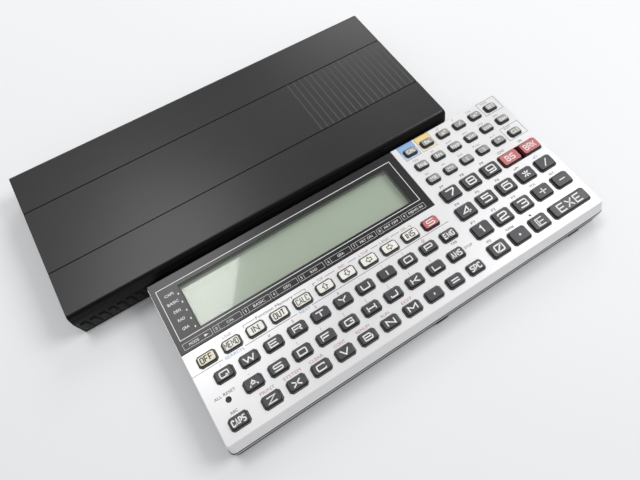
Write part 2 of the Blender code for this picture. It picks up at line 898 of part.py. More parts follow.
def make_lower_case():
    """Dark tray with its rails, bosses, pillars, battery bay and openings."""
    bm = bmesh.new()
    rings = lower_rings(rail_foot / 2, (foot_height,))
    rings += lower_rings(0, (foot_height + rail_foot / 2, parting_height))
    loft(bm, rings)
    tray = new_object("lower_case", bm)

    thick = rail_depth + rail_wall - wall
    rail_top = foot_height + rail_foot + rail_height
    bm = bmesh.new()
    inner = lower_rings(wall, (floor_top, rail_top + rail_foot / 2), thick)
    inner += lower_rings(wall, (rail_top + rail_foot / 2 + thick, parting_height + overrun))
    loft(bm, inner)
    carve(tray, new_object("inside", bm))

    bm = bmesh.new()
    for side in (-1, 1):
        face, back = side * (body_depth / 2 + overrun), side * (body_depth / 2 - rail_depth)
        y0, y1 = min(face, back), max(face, back)
        prism(bm, outline(-body_width / 2 - overrun, body_width / 2 + overrun, y0, y1),
              foot_height + rail_foot, rail_top)
    carve(tray, new_object("rails", bm))

    bm = bmesh.new()
    for x, y in screw_places().values():
        prism(bm, circle(x, y, boss_radius), floor_top - floor_thickness / 4,
              upper_bottom - 2 * gap)
    for x, y, top in pillar_places():
        prism(bm, circle(x, y, pillar_radius), floor_top - floor_thickness / 4, top)
    for share in lug_left_shares:
        left, y = share * body_width, -body_depth / 2
        prism(bm, outline(to_x(left), to_x(left + lug_width), y - lug_rise, y + lug_rise),
              foot_height + rail_foot / 2, foot_height + rail_foot - gap)
    carve(tray, new_object("bosses", bm), "UNION")
    add_dial_spindle(tray)
    add_battery_bay(tray)

    bm = bmesh.new()
    for x, y in screw_places().values():
        sink = foot_height + counterbore_depth
        head = circle(x, y, counterbore_radius)
        hole = circle(x, y, screw_hole_radius)
        loft(bm, [(head, foot_height - overrun), (head, sink), (hole, sink),
                  (hole, parting_height + overrun)])
    for y in foot_places().values():
        prism(bm, foot_outline(y, gap), foot_height - overrun, foot_height + foot_seat)
    carve(tray, new_object("screw_holes", bm))
    cut_ports(tray)
    return tray


def add_dial_spindle(tray):
    """Stepped spindle that the contrast dial turns on."""
    x, y = dial_place()
    bm = bmesh.new()
    shoulder = circle(x, y, shoulder_radius)
    pin = circle(x, y, spindle_radius)
    step = dial_bottom - gap
    loft(bm, [(shoulder, floor_top - floor_thickness / 4), (shoulder, step), (pin, step),
              (pin, dial_bottom + dial_thickness + gap)])
    carve(tray, new_object("spindle", bm), "UNION")


def add_battery_bay(tray):
    """Walls round the coin cells and the stepped slot that the cover slides in."""
    bm = bmesh.new()
    prism(bm, compartment_outline(compartment_wall), floor_top - floor_thickness / 4,
          floor_top + compartment_height)
    carve(tray, new_object("bay_walls", bm), "UNION")
    bm = bmesh.new()
    prism(bm, compartment_outline(0), foot_height - overrun, parting_height)
    carve(tray, new_object("bay", bm))
    left = compartment_outline(0)[0][0] - compartment_wall / 2
    right = body_width / 2 + overrun
    for grow, bottom, top in ((0, foot_height - overrun, foot_height + cover_lip + gap),
                              (cover_tongue, foot_height + cover_lip, floor_top)):
        y0, y1 = cover_span(grow)
        bm = bmesh.new()
        prism(bm, outline(left, right, y0, y1), bottom, top)
        carve(tray, new_object("cover_slot", bm))


def cut_ports(tray):
    """Openings for the expansion connector in the left wall and the dial in the right."""
    bm = bmesh.new()
    bottom = floor_top + port_drop
    prism(bm, outline(-body_width / 2 - overrun, -body_width / 2 + wall + overrun,
                      to_y(connector_rear + connector_length - port_border),
                      to_y(connector_rear + port_border)), bottom, bottom + port_height)
    x, y = dial_place()
    inner = body_width / 2 - wall - x
    half = math.sqrt(dial_radius ** 2 - inner ** 2) + dial_slot_room
    prism(bm, outline(body_width / 2 - wall - overrun, body_width / 2 + overrun, y - half,
                      y + half), dial_bottom - gap, dial_bottom + dial_thickness + gap)
    carve(tray, new_object("ports", bm))


def foot_places():
    """Names and y of the two rubber feet."""
    y = body_depth / 2 - foot_inset_y
    return {"rubber_foot_front": -y, "rubber_foot_rear": y}


def foot_outline(y, grow):
    """Outline of a rubber foot or of its seat."""
    reach, half = foot_length / 2 + grow, foot_width / 2 + grow
    return outline(-reach, reach, y - half, y + half)


def make_rubber_foot(name, y):
    """Long rubber foot seated in the floor of the lower case."""
    bm = bmesh.new()
    prism(bm, foot_outline(y, 0), 0, foot_height + foot_seat - gap)
    return new_object(name, bm)


def make_case_screw(name, x, y):
    """Slotted flat-headed screw that holds the two halves of the case together."""
    bm = bmesh.new()
    head_bottom = foot_height + screw_recess
    head_top = head_bottom + screw_head_height
    head = circle(x, y, screw_head_radius)
    shank = circle(x, y, screw_radius)
    loft(bm, [(head, head_bottom), (head, head_top), (shank, head_top),
              (shank, head_bottom + screw_length)])
    screw = new_object(name, bm)
    bm = bmesh.new()
    prism(bm, outline(x - screw_head_radius, x + screw_head_radius, y - slot_width / 2,
                      y + slot_width / 2), head_bottom - overrun, head_bottom + slot_depth)
    carve(screw, new_object("slot", bm))
    return screw


def make_battery_cover():
    """Sliding cover with tongues along its sides and grip grooves at its outer end."""
    left = compartment_outline(0)[0][0] - compartment_wall / 2 + gap
    right = body_width / 2 - gap
    y0, y1 = cover_span(-gap)
    t0, t1 = cover_span(cover_tongue - gap)
    step = foot_height + cover_lip + gap
    top = step + cover_tongue_thickness
    profile = [(y0, foot_height), (y1, foot_height), (y1, step), (t1, step), (t1, top),
               (t0, top), (t0, step), (y0, step)]
    bm = bmesh.new()
    extrude_profile(bm, profile, left, right)
    cover = new_object("battery_cover", bm)
    bm = bmesh.new()
    for i in range(grip_groove_count):
        x = right - (i + 2) * grip_groove_pitch
        half = grip_groove_width / 2
        points = [(x - half, foot_height - overrun), (x + half, foot_height - overrun),
                  (x + half, foot_height), (x, foot_height + grip_groove_depth),
                  (x - half, foot_height)]
        near, far = y0 + cell_radius / 2, y1 - cell_radius / 2
        rear = [bm.verts.new((px, far, pz)) for px, pz in points]
        fore = [bm.verts.new((px, near, pz)) for px, pz in points]
        for a in range(len(points)):
            b = (a + 1) % len(points)
            bm.faces.new((fore[a], fore[b], rear[b], rear[a]))
        bm.faces.new(list(reversed(fore)))
        bm.faces.new(rear)
    carve(cover, new_object("grip_grooves", bm))
    return cover


def make_expansion_connector():
    """Block with a socket behind the opening in the left wall."""
    x0 = -body_width / 2 + wall + gap
    y0, y1 = to_y(connector_rear + connector_length), to_y(connector_rear)
    bottom = floor_top + gap
    bm = bmesh.new()
    prism(bm, outline(x0, x0 + connector_depth, y0, y1), bottom, bottom + connector_height)
    block = new_object("expansion_connector", bm)
    bm = bmesh.new()
    middle = bottom + connector_height / 2
    prism(bm, outline(x0 - overrun, x0 + socket_depth, y0 + slot_border, y1 - slot_border),
          middle - slot_height / 2, middle + slot_height / 2)
    carve(block, new_object("socket", bm))
    return block


def make_connector_cover():
    """Cap that closes the port, with a tongue that plugs into the socket."""
    y0 = to_y(connector_rear + connector_length - port_border) + gap
    y1 = to_y(connector_rear + port_border) - gap
    bottom = floor_top + port_drop + gap
    top = floor_top + port_drop + port_height - gap
    middle = floor_top + gap + connector_height / 2
    x0 = -body_width / 2
    bm = bmesh.new()
    prism(bm, outline(x0, x0 + cap_thickness, y0, y1), bottom, top)
    cap = new_object("connector_cover", bm)
    bm = bmesh.new()
    inset = slot_border + tongue_inset
    half = slot_height / 2 - gap
    prism(bm, outline(x0 + cap_thickness / 2, x0 + wall + gap + tongue_depth, y0 + inset,
                      y1 - inset), middle - half, middle + half)
    carve(cap, new_object("tongue", bm), "UNION")
    return cap


def dial_place():
    """Axis of the contrast dial."""
    return body_width / 2 + dial_proud - dial_radius, to_y(dial_y)


def make_contrast_dial():
    """Thumbwheel with a notched rim and a bore for its spindle."""
    x, y = dial_place()
    bm = bmesh.new()
    rim = []
    for i in range(2 * dial_teeth):
        radius = dial_radius - dial_tooth_depth * (i % 2)
        angle = math.pi * i / dial_teeth
        rim.append((x + radius * math.cos(angle), y + radius * math.sin(angle)))
    prism(bm, rim, dial_bottom, dial_bottom + dial_thickness)
    dial = new_object("contrast_dial", bm)
    bm = bmesh.new()
    prism(bm, circle(x, y, spindle_radius + gap), dial_bottom - overrun,
          dial_bottom + dial_thickness + overrun)
    carve(dial, new_object("bore", bm))
    return dial


# Hard case

def case_profile():
    """Section of the sleeve across its length, anticlockwise seen from +X."""
    half = case_top_width / 2
    out = half + case_wall_out
    inner = out - case_wall
    lip = inner - case_lip_reach
    ceiling = case_height - case_plate
    right = [(lip, 0), (out, 0), (out, case_height - case_wall_drop),
             (half + case_band_run, case_height - case_band_drop), (half, case_height)]
    left = [(-y, z) for y, z in reversed(right)]
    inside = [(-lip, case_lip_height), (-inner, case_lip_height), (-inner, ceiling),
              (inner, ceiling), (inner, case_lip_height), (lip, case_lip_height)]
    return right + left + inside


def add_grip_rib(bm, x, side):
    """Upright rib with a bevelled face on one long wall of the sleeve."""
    root = case_top_width / 2 + case_wall_out
    half = grip_rib_width / 2
    bottom = case_height - grip_rib_bottom
    top = case_height - grip_rib_top
    rings = []
    for reach, inset in ((-case_wall / 2, 0), (grip_rib_rise, grip_rib_bevel)):
        y = side * (root + reach)
        rings.append([(x - half + inset, y, bottom + inset), (x + half - inset, y, bottom + inset),
                      (x + half - inset, y, top - inset), (x - half + inset, y, top - inset)])
    loops = [[bm.verts.new(p) for p in ring] for ring in rings]
    faces = [bm.faces.new(loops[0]), bm.faces.new(loops[-1])]
    for near, far in zip(loops, loops[1:]):
        for i in range(4):
            j = (i + 1) % 4
            faces.append(bm.faces.new((near[i], near[j], far[j], far[i])))
    bmesh.ops.recalc_face_normals(bm, faces=faces)


def make_hard_case():
    """Slide-on sleeve with lips, three top panels, cross grooves and ribbed walls."""
    bm = bmesh.new()
    extrude_profile(bm, case_profile(), -case_length / 2, case_length / 2)
    sleeve = new_object("hard_case", bm)

    bm = bmesh.new()
    count = int((case_length - grip_rib_pitch / 2) / grip_rib_pitch)
    for i in range(count):
        x = (i - (count - 1) / 2) * grip_rib_pitch
        for side in (-1, 1):
            add_grip_rib(bm, x, side)
    carve(sleeve, new_object("grip_ribs", bm), "UNION")

    bm = bmesh.new()
    groove = case_top_width / 2 - panel_groove_inset
    for side in (-1, 1):
        y = side * groove
        prism(bm, outline(-case_length / 2 - overrun, case_length / 2 + overrun,
                          y - panel_groove_width / 2, y + panel_groove_width / 2),
              case_height - panel_groove_depth, case_height + overrun)
    carve(sleeve, new_object("panel_grooves", bm))

    bm = bmesh.new()
    start = cross_groove_start - case_length / 2
    room = case_length - cross_groove_start
    reach = groove - panel_groove_width / 2 - gap
    for i in range(int(room / cross_groove_pitch)):
        x = start + (i + 0.5) * cross_groove_pitch
        prism(bm, outline(x - cross_groove_width / 2, x + cross_groove_width / 2, -reach, reach),
              case_height - cross_groove_depth, case_height + overrun)
    carve(sleeve, new_object("cross_grooves", bm))
    return sleeve


def clear_scene():
    """Empties the scene of whatever it held."""
    for thing in list(bpy.data.objects):
        bpy.data.objects.remove(thing)


def build():
    """Makes every piece and hangs it on its frame."""
    clear_scene()
    computer = frame_at("computer_frame", computer_place)
    silver = plastic("silver_case", (0.72, 0.72, 0.72), 0.35, 0.4)
    dark = plastic("dark_case", (0.03, 0.03, 0.032), 0.5)
    panel = plastic("display_panel", (0.035, 0.033, 0.038), 0.15)
    clear = plastic("clear_lens", (0.55, 0.6, 0.5), 0.05)
    glass = plastic("lcd_glass", (0.5, 0.56, 0.44), 0.2)
    board = plastic("circuit_board", (0.03, 0.14, 0.06), 0.5)
    rubber = plastic("grey_rubber", (0.12, 0.12, 0.12), 0.8)
    metal = plastic("bright_metal", (0.6, 0.58, 0.55), 0.3, 1.0)
    black_key = plastic("dark_key", (0.05, 0.05, 0.055), 0.4)
    grey_key = plastic("grey_key", (0.22, 0.22, 0.22), 0.4)
    cream_key = plastic("cream_key", (0.8, 0.78, 0.68), 0.45)
    red_key = plastic("red_key", (0.5, 0.06, 0.06), 0.4)
    black_resin = plastic("black_resin", (0.015, 0.015, 0.015), 0.5)

    fixed = ((make_upper_case, silver), (make_display_panel, panel),
             (make_display_window, clear), (make_lcd_glass, glass), (make_lcd_frame, dark),
             (make_letter_key_mat, black_key), (make_number_key_mat, grey_key),
             (make_key_board, board), (make_main_board, board), (make_board_ribbon, dark),
             (make_piezo_buzzer, metal), (make_backup_cell, metal), (make_cell_contact, metal),
             (make_lower_case, dark), (make_expansion_connector, black_resin))
    for make, finish in fixed:
        settle(make(), computer, finish)
    settle(make_elastomer_strip("elastomer_strip_front", True), computer, rubber)
    settle(make_elastomer_strip("elastomer_strip_rear", False), computer, rubber)
    settle(make_main_cell("main_cell_left", -1), computer, metal)
    settle(make_main_cell("main_cell_right", 1), computer, metal)
    for name, y in foot_places().items():
        settle(make_rubber_foot(name, y), computer, rubber)
    for name, (x, y) in screw_places().items():
        settle(make_case_screw(name, x, y), computer, metal)

    red_names = ("key_shift", "key_backspace", "key_break")
    for keys, colour in ((number_keys(), black_key), (function_keys(), cream_key)):
        for key in keys:
            finish = red_key if key[0] in red_names else colour
            settle(make_key(key), computer, finish, (to_x(key[1]), to_y(key[2]), body_height))

    settle(make_reset_button(), computer, dark,
           (to_x(letter_column), to_y(reset_row), body_height))
    dial_x, dial_y_place = dial_place()
    settle(make_contrast_dial(), computer, dark, (dial_x, dial_y_place, dial_bottom))
    settle(make_battery_cover(), computer, dark,
           (to_x(cell_middle_x), to_y(cell_middle_y), foot_height))
    settle(make_connector_cover(), computer, dark,
           (to_x(0), to_y(connector_rear + connector_length / 2), floor_top + port_drop))

    sleeve_frame = frame_at("hard_case_frame", case_place)
    settle(make_hard_case(), sleeve_frame, plastic("matt_black", (0.05, 0.05, 0.052), 0.45))


build()
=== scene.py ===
"""Looks of a pocket computer and of the slide-on hard case that lies behind it.

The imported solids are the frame. Places on the computer's top are distances from its left end
and from its rear edge, in metres, and at() turns them into scene coordinates.
"""
import math

import bmesh
import bpy
from mathutils import Matrix, Vector


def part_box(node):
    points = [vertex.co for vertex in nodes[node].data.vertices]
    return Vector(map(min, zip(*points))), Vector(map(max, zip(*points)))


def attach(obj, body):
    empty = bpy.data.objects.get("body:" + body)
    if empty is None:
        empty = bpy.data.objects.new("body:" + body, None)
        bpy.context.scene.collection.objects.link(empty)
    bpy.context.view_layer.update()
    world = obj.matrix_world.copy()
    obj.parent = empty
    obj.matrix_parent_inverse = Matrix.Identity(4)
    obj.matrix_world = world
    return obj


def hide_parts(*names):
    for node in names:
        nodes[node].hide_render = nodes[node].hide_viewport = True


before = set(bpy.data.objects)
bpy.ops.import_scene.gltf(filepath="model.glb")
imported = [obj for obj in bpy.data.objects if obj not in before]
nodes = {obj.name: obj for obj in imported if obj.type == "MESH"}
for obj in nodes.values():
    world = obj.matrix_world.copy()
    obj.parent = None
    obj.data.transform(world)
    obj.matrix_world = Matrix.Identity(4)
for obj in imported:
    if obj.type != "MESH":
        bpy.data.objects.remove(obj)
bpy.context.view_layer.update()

scene = bpy.context.scene
mm = 0.001

# Edges and heights of the computer's body
body_low, body_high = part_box("lower_case")
plate_low, plate_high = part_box("display_panel")
left_end = body_low.x
rear_edge = body_high.y
body_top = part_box("upper_case")[1].z
edge_rounding = 0.12 * mm
print_lift = 0.02 * mm
ink_depth = 0.02 * mm

# Sizes of the keys
key_rise = 1.3 * mm
key_shoulder = 0.35 * mm
side_bevel = 0.6 * mm
front_bevel = 0.8 * mm
key_corner = 0.74 * mm
crown_rounding = 0.15 * mm
shoulder_rounding = 0.1 * mm
flange_reach = 0.5 * mm
flange_depth = 1.7 * mm
opening_gap = 0.3 * mm
opening_cut = 1.0 * mm
letter_size = (7.95 * mm, 4.95 * mm)
small_size = (6.6 * mm, 4.17 * mm)
letter_pitch = 11.09 * mm
letter_row_pitch = 9.07 * mm
letter_column = 9.12 * mm
letter_stagger = 3.1 * mm
function_row = 41.38 * mm
small_column = 135.55 * mm
small_pitch = 9.9 * mm
small_row = 6.04 * mm
small_row_pitch = 8.97 * mm

# Grooves and ribs of the hard case
cross_start = 137.75 * mm
cross_pitch = 3.4 * mm
cross_width = 0.9 * mm
cross_count = 17
case_rib_rise = 0.7 * mm
case_rib_pitch = 4.1 * mm
case_rib_half = 1.55 * mm
case_rib_count = 47
case_shoulder = 2.9 * mm
groove_inset = 21.8 * mm
groove_half = 0.25 * mm


def at(from_left, from_rear, height=0.0):
    """Scene place of a point on the computer's top."""
    return Vector((left_end + from_left, rear_edge - from_rear, body_top + height))


# Materials

class Value:
    """Output of a node that takes part in sums written in Python."""

    def __init__(self, finish, socket):
        self.finish, self.socket = finish, socket

    def work(self, operation, *others):
        settings = {"operation": operation}
        return self.finish.node("ShaderNodeMath", settings, *others)

    def __add__(self, other):
        return self.work("ADD", self, other)

    def __radd__(self, other):
        return self.work("ADD", other, self)

    def __sub__(self, other):
        return self.work("SUBTRACT", self, other)

    def __rsub__(self, other):
        return self.work("SUBTRACT", other, self)

    def __mul__(self, other):
        return self.work("MULTIPLY", self, other)

    def __truediv__(self, other):
        return self.work("DIVIDE", self, other)

    def __abs__(self):
        return self.work("ABSOLUTE", self)

    def __gt__(self, other):
        return self.work("GREATER_THAN", self, other)

    def __lt__(self, other):
        return self.work("LESS_THAN", self, other)


class Finish:
    """Material with one Principled shader and the nodes that vary it."""

    def __init__(self, name, colour, roughness, **shader_values):
        self.material = bpy.data.materials.new(name)
        self.material.use_nodes = True
        self.tree = self.material.node_tree
        self.shader = self.tree.nodes["Principled BSDF"]
        self.put("Base Color", (*colour, 1.0))
        self.put("Roughness", roughness)
        for socket, value in shader_values.items():
            self.put(socket.replace("_", " "), value)

    def put(self, socket, value):
        """Sets or links one socket of the shader."""
        self.fill(self.shader.inputs[socket], value)

    def fill(self, socket, value):
        """Gives a socket a value or a link."""
        if isinstance(value, Value):
            self.tree.links.new(value.socket, socket)
        else:
            socket.default_value = value

    def node(self, kind, settings=None, *values, out=0, **named):
        """Adds a node, sets it up, fills its sockets and gives its output."""
        made = self.tree.nodes.new(kind)
        for key, value in (settings or {}).items():
            setattr(made, key, value)
        for socket, value in zip(made.inputs, values):
            self.fill(socket, value)
        for name, value in named.items():
            self.fill(made.inputs[name.replace("_", " ")], value)
        return Value(self, made.outputs[out])

    def places(self):
        """Object coordinates."""
        return self.node("ShaderNodeTexCoord", out="Object")

    def split(self, vector):
        """X, Y and Z of a vector."""
        made = self.tree.nodes.new("ShaderNodeSeparateXYZ")
        self.fill(made.inputs[0], vector)
        return [Value(self, out) for out in made.outputs]

    def noise(self, scale, detail=2.0, roughness=0.5, stretch=None):
        """Noise at a scale given in cycles per metre."""
        places = self.places()
        if stretch:
            places = self.node("ShaderNodeMapping", None, Vector=places, Scale=stretch)
        return self.node("ShaderNodeTexNoise", None, Vector=places, Scale=scale, Detail=detail,
                         Roughness=roughness)

    def blend(self, share, first, second):
        """Colour between two colours."""
        made = self.tree.nodes.new("ShaderNodeMix")
        made.data_type = "RGBA"
        self.fill(made.inputs["Factor"], share)
        for socket, value in ((made.inputs[6], first), (made.inputs[7], second)):
            self.fill(socket, value if isinstance(value, Value) else (*value, 1.0))
        return Value(self, made.outputs[2])

    def bump(self, height, distance, strength=1.0, rounding=None):
        """Surface relief, with rounded edges where a radius is given."""
        named = {"Height": height, "Distance": distance, "Strength": strength}
        if rounding:
            named["Normal"] = self.node("ShaderNodeBevel", {"samples": 4}, rounding)
        self.put("Normal", self.node("ShaderNodeBump", None, **named))

    def inside(self, low, high):
        """One inside an upright rectangle of the object's plan, zero outside."""
        x, y, _ = self.split(self.places())
        half_x, half_y = (high[0] - low[0]) / 2, (high[1] - low[1]) / 2
        over_x = abs(x - (high[0] + low[0]) / 2) < half_x
        over_y = abs(y - (high[1] + low[1]) / 2) < half_y
        return over_x * over_y


def silver_paint():
    """Satin silver paint of the upper case, with its fine metallic grain."""
    made = Finish("silver_paint", (0.8, 0.8, 0.81), 0.36, Metallic=0.25)
    grain = made.noise(5200.0, 1.0)
    cloud = made.noise(38.0, 3.0)
    shade = grain * 0.35 + cloud * 0.65
    made.put("Base Color", made.blend(shade, (0.74, 0.74, 0.755), (0.86, 0.86, 0.865)))
    made.put("Roughness", 0.3 + cloud * 0.12)
    made.bump(grain, 0.004 * mm, 0.5, edge_rounding)
    return made.material


def moulded_plastic(name, dark, light, grain_scale, depth, roughness):
    """Moulded plastic with a fine texture and slight differences in tone and gloss."""
    made = Finish(name, dark, roughness)
    grain = made.noise(grain_scale, 3.0, 0.6)
    cloud = made.noise(30.0, 3.0)
    made.put("Base Color", made.blend(grain * 0.4 + cloud * 0.6, dark, light))
    made.put("Roughness", (roughness - 0.06) + cloud * 0.12)
    made.bump(grain, depth, 0.6, edge_rounding)
    return made.material


def tray_plastic():
    """Dark plastic of the lower case, with a light grey band painted along its front wall as the
    table's reflection.
    """
    made = Finish("tray_plastic", (0.03, 0.03, 0.03), 0.45)
    grain = made.noise(2600.0, 3.0, 0.6)
    cloud = made.noise(30.0, 3.0)
    _, y, height = made.split(made.places())
    band_foot, band_head = 6.0 * mm, body_high.z - 0.35 * mm
    front_wall = body_low.y + 1.2 * mm
    # Painted reflection: a light grey band on the front wall between these heights stands for the
    # table reflected in the dark plastic.
    on_painted_reflection = (height < band_head) * (height > band_foot) * (y < front_wall)
    plain = made.blend(cloud, (0.014, 0.014, 0.0145), (0.026, 0.026, 0.027))
    worn_crown_and_painted_reflection = made.blend(grain * 0.5 + cloud * 0.5, (0.6, 0.6, 0.6), (0.7, 0.7, 0.695))
    made.put("Base Color", made.blend(on_painted_reflection, plain, worn_crown_and_painted_reflection))
    made.put("Roughness", 0.42 + cloud * 0.12)
    made.bump(grain, 0.012 * mm, 0.6, 0.1 * mm)
    return made.material


def case_plastic():
    """Satin black plastic of the hard case: rubbed top with painted highlight lines in its cross
    grooves; smooth shoulder, plain walls and ribs painted near-black as shade.
    """
    made = Finish("case_plastic", (0.045, 0.045, 0.047), 0.4, Specular_IOR_Level=0.14,
                  Coat_Roughness=0.28)
    grain = made.noise(4200.0, 3.0, 0.6)
    cloud = made.noise(14.0, 4.0, 0.55)
    rubs = made.noise(60.0, 5.0, 0.7, (0.35, 6.0, 1.0))
    low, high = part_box("hard_case")
    reach = (high.y - low.y) / 2 - case_rib_rise - case_shoulder - groove_inset - groove_half
    x, y, height = made.split(made.places())
    skin, groove_highlight_half = 0.2 * mm, 0.075
    on_top = height > high.z - skin
    shade = cloud * 0.7 + rubs * 0.3
    top = made.blend(shade, (0.014, 0.014, 0.0145), (0.034, 0.034, 0.035))
    along = (x - (low.x + cross_start)) / cross_pitch
    part = made.node("ShaderNodeMath", {"operation": "FRACT"}, along)
    in_field = (along > 0.0) * (along < float(cross_count)) * (
        abs(y - (low.y + high.y) / 2) < reach)
    # Painted highlight: a lighter line in the middle of each cross groove stands for the light
    # caught by the groove edges.
    in_groove = abs(part - cross_width / cross_pitch / 2) < groove_highlight_half
    groove_highlight = in_groove * in_field * (0.35 + rubs * 0.5)
    top = made.blend(groove_highlight, top, (0.075, 0.075, 0.072))
    # Painted shade: everything below the top skin (the shoulder, walls and ribs) is near-black; the
    # top keeps the plastic's own tone.
    made.put("Base Color", made.blend(on_top, (0.004, 0.004, 0.0042), top))
    made.put("Coat Weight", on_top * 0.38)
    made.put("Roughness", 0.34 + cloud * 0.08 + rubs * 0.06)
    made.bump(grain, 0.006 * mm, 0.5, 0.1 * mm)
    return made.material


def front_plate(low, high):
    """Gloss plate printed dark from behind, clear over the display."""
    made = Finish("front_plate", (0.012, 0.0115, 0.013), 0.3, IOR=1.45)
    haze = made.noise(22.0, 3.0)
    made.put("Roughness", 0.27 + haze * 0.08)
    clear = made.inside(low, high)
    made.put("Base Color", made.blend(clear, (0.014, 0.013, 0.015), (0.5, 0.55, 0.48)))
    made.put("Alpha", 1.0 - clear * 0.93)
    return made.material


def display_film():
    """Grey-green polariser of the display with its faint rows of cells."""
    made = Finish("display_film", (0.36, 0.43, 0.33), 0.22, Coat_Weight=1.0, Coat_Roughness=0.04)
    x, y, _ = made.split(made.places())
    cloud = made.noise(16.0, 2.0)
    pitch = 0.45 * mm
    rows = made.node("ShaderNodeMath", {"operation": "SINE"}, y * (2 * math.pi / pitch))
    columns = made.node("ShaderNodeMath", {"operation": "SINE"}, x * (2 * math.pi / pitch))
    cells = (rows + columns) * 0.05 + cloud
    made.put("Base Color", made.blend(cells, (0.33, 0.4, 0.31), (0.42, 0.49, 0.39)))
    made.put("Roughness", 0.18 + cloud * 0.08)
    return made.material


def circuit_board():
    """Green solder resist with tracks and pads showing through."""
    made = Finish("circuit_board", (0.02, 0.1, 0.04), 0.45)
    places = made.places()
    tracks = made.node("ShaderNodeTexBrick", {"offset": 0.37}, Vector=places, Scale=260.0,
                       Mortar_Size=0.03, out="Fac")
    pads = made.node("ShaderNodeTexVoronoi", {"feature": "DISTANCE_TO_EDGE"}, Vector=places,
                     Scale=420.0) < 0.06
    green = made.blend(tracks, (0.015, 0.085, 0.035), (0.03, 0.17, 0.07))
    made.put("Base Color", made.blend(pads * 0.6, green, (0.45, 0.33, 0.12)))
    made.put("Roughness", 0.5 - pads * 0.2)
    return made.material


def bright_metal():
    """Plated sheet metal with fine lengthwise marks."""
    made = Finish("bright_metal", (0.6, 0.58, 0.55), 0.3, Metallic=1.0)
    lines = made.noise(900.0, 3.0, 0.6, (0.06, 1.0, 1.0))
    made.put("Base Color", made.blend(lines, (0.5, 0.48, 0.45), (0.68, 0.66, 0.63)))
    made.put("Roughness", 0.22 + lines * 0.2)
    made.bump(lines, 0.002 * mm, 0.4, 0.06 * mm)
    return made.material


def key_plastic(name, crown, painted_flank_shade, line, roughness=0.36, **shader_values):
    """Satin key plastic: crown in the key's own colour, flanks painted dark as shade, and a painted
    highlight line where they meet the neck.
    """
    made = Finish(name, crown, roughness, **shader_values)
    grain = made.noise(5000.0, 2.0)
    cloud = made.noise(90.0, 3.0)
    height = made.split(made.places())[2]
    crown_skin, highlight_rise, highlight_half = 0.09 * mm, 0.03 * mm, 0.11 * mm
    on_crown = height > body_top + key_rise - crown_skin
    # Painted highlight: a thin band just above the shoulder takes the line colour, standing for the
    # light on the shoulder's edge.
    on_painted_highlight = abs(height - (body_top + key_shoulder + highlight_rise)) < highlight_half
    worn_crown_and_painted_reflection = made.blend(cloud, crown, tuple(min(1.0, part * 1.2) for part in crown))
    # Painted shade: flanks, neck and flange take the dark flank colour; only the crown keeps the
    # key's own colour.
    sides = made.blend(on_painted_highlight * 0.8, painted_flank_shade, line)
    made.put("Base Color", made.blend(on_crown, sides, worn_crown_and_painted_reflection))
    made.put("Roughness", (roughness - 0.04) + cloud * 0.08)
    made.bump(grain, 0.003 * mm, 0.5)
    return made.material


def ink(name, colour):
    """Screen-printed ink, a little uneven in tone and gloss."""
    made = Finish(name, colour, 0.45)
    speckle = made.noise(3000.0, 2.0)
    made.put("Base Color", made.blend(speckle, tuple(part * 0.9 for part in colour), colour))
    made.put("Roughness", 0.4 + speckle * 0.15)
    return made.material


def pale_floor():
    """Plain pale table."""
    made = Finish("pale_floor", (0.84, 0.85, 0.865), 0.6)
    cloud = made.noise(2.5, 2.0)
    made.put("Base Color", made.blend(cloud, (0.81, 0.82, 0.835), (0.86, 0.87, 0.88)))
    return made.material


# Meshes

def new_piece(name, bm, finish, body):
    """Finished piece in the scene, riding on a body."""
    mesh = bpy.data.meshes.new(name)
    bm.to_mesh(mesh)
    bm.free()
    thing = bpy.data.objects.new(name, mesh)
    scene.collection.objects.link(thing)
    mesh.materials.append(finish)
    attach(thing, body)
    return thing


def set_corners(verts, x0, x1, y0, y1, z):
    """Puts the four corners of a level face at a rectangle."""
    middle = sum((v.co for v in verts), Vector()) / len(verts)
    for vert in verts:
        x = x1 if vert.co.x > middle.x else x0
        y = y1 if vert.co.y > middle.y else y0
        vert.co = (x, y, z)


def stack(bm, steps):
    """Box that grows upwards through rectangles given as (x0, x1, y0, y1, z)."""
    made = bmesh.ops.create_cube(bm, size=1.0)["verts"]
    foot, head = [v for v in made if v.co.z < 0], [v for v in made if v.co.z > 0]
    top = [f for f in head[0].link_faces if all(v in head for v in f.verts)][0]
    set_corners(foot, *steps[0])
    set_corners(head, *steps[1])
    for step in steps[2:]:
        grown = bmesh.ops.extrude_face_region(bm, geom=[top])["geom"]
        top = [item for item in grown if isinstance(item, bmesh.types.BMFace)][0]
        set_corners(top.verts, *step)


def bar(bm, x0, x1, y0, y1, z0, z1):
    """Plain bar that belongs to a larger piece."""
    stack(bm, [(x0, x1, y0, y1, z0), (x0, x1, y0, y1, z1)])


def pull(bm, faces, way, keep=True):
    """Extrudes faces along a way."""
    grown = bmesh.ops.extrude_face_region(bm, geom=faces, use_keep_orig=keep)["geom"]
    bmesh.ops.translate(bm, vec=way,
                        verts=[v for v in grown if isinstance(v, bmesh.types.BMVert)])


def join(bm, made):
    """Adds a mesh to another one and frees it."""
    shape = bpy.data.meshes.new("joined")
    made.to_mesh(shape)
    made.free()
    bm.from_mesh(shape)
    bpy.data.meshes.remove(shape)


def key_steps(x, y, width, depth, foot, overhang=None):
    """Levels of a key, from its foot to its crown, with a flange if it has an overhang."""
    x0, x1, y0, y1 = x - width / 2, x + width / 2, y - depth / 2, y + depth / 2
    neck = (x0, x1, y0, y1)
    if overhang:
        side, reach, flange_top = overhang
        flange = (x0 - side, x1 + side, y0 - reach, y1 + reach)
        steps = [(*flange, foot), (*flange, flange_top), (*neck, flange_top)]
    else:
        steps = [(*neck, foot)]
    cap = (x0 + side_bevel, x1 - side_bevel, y0 + front_bevel, y1 - side_bevel)
    return steps + [(*neck, body_top + key_shoulder), (*cap, body_top + key_rise)]


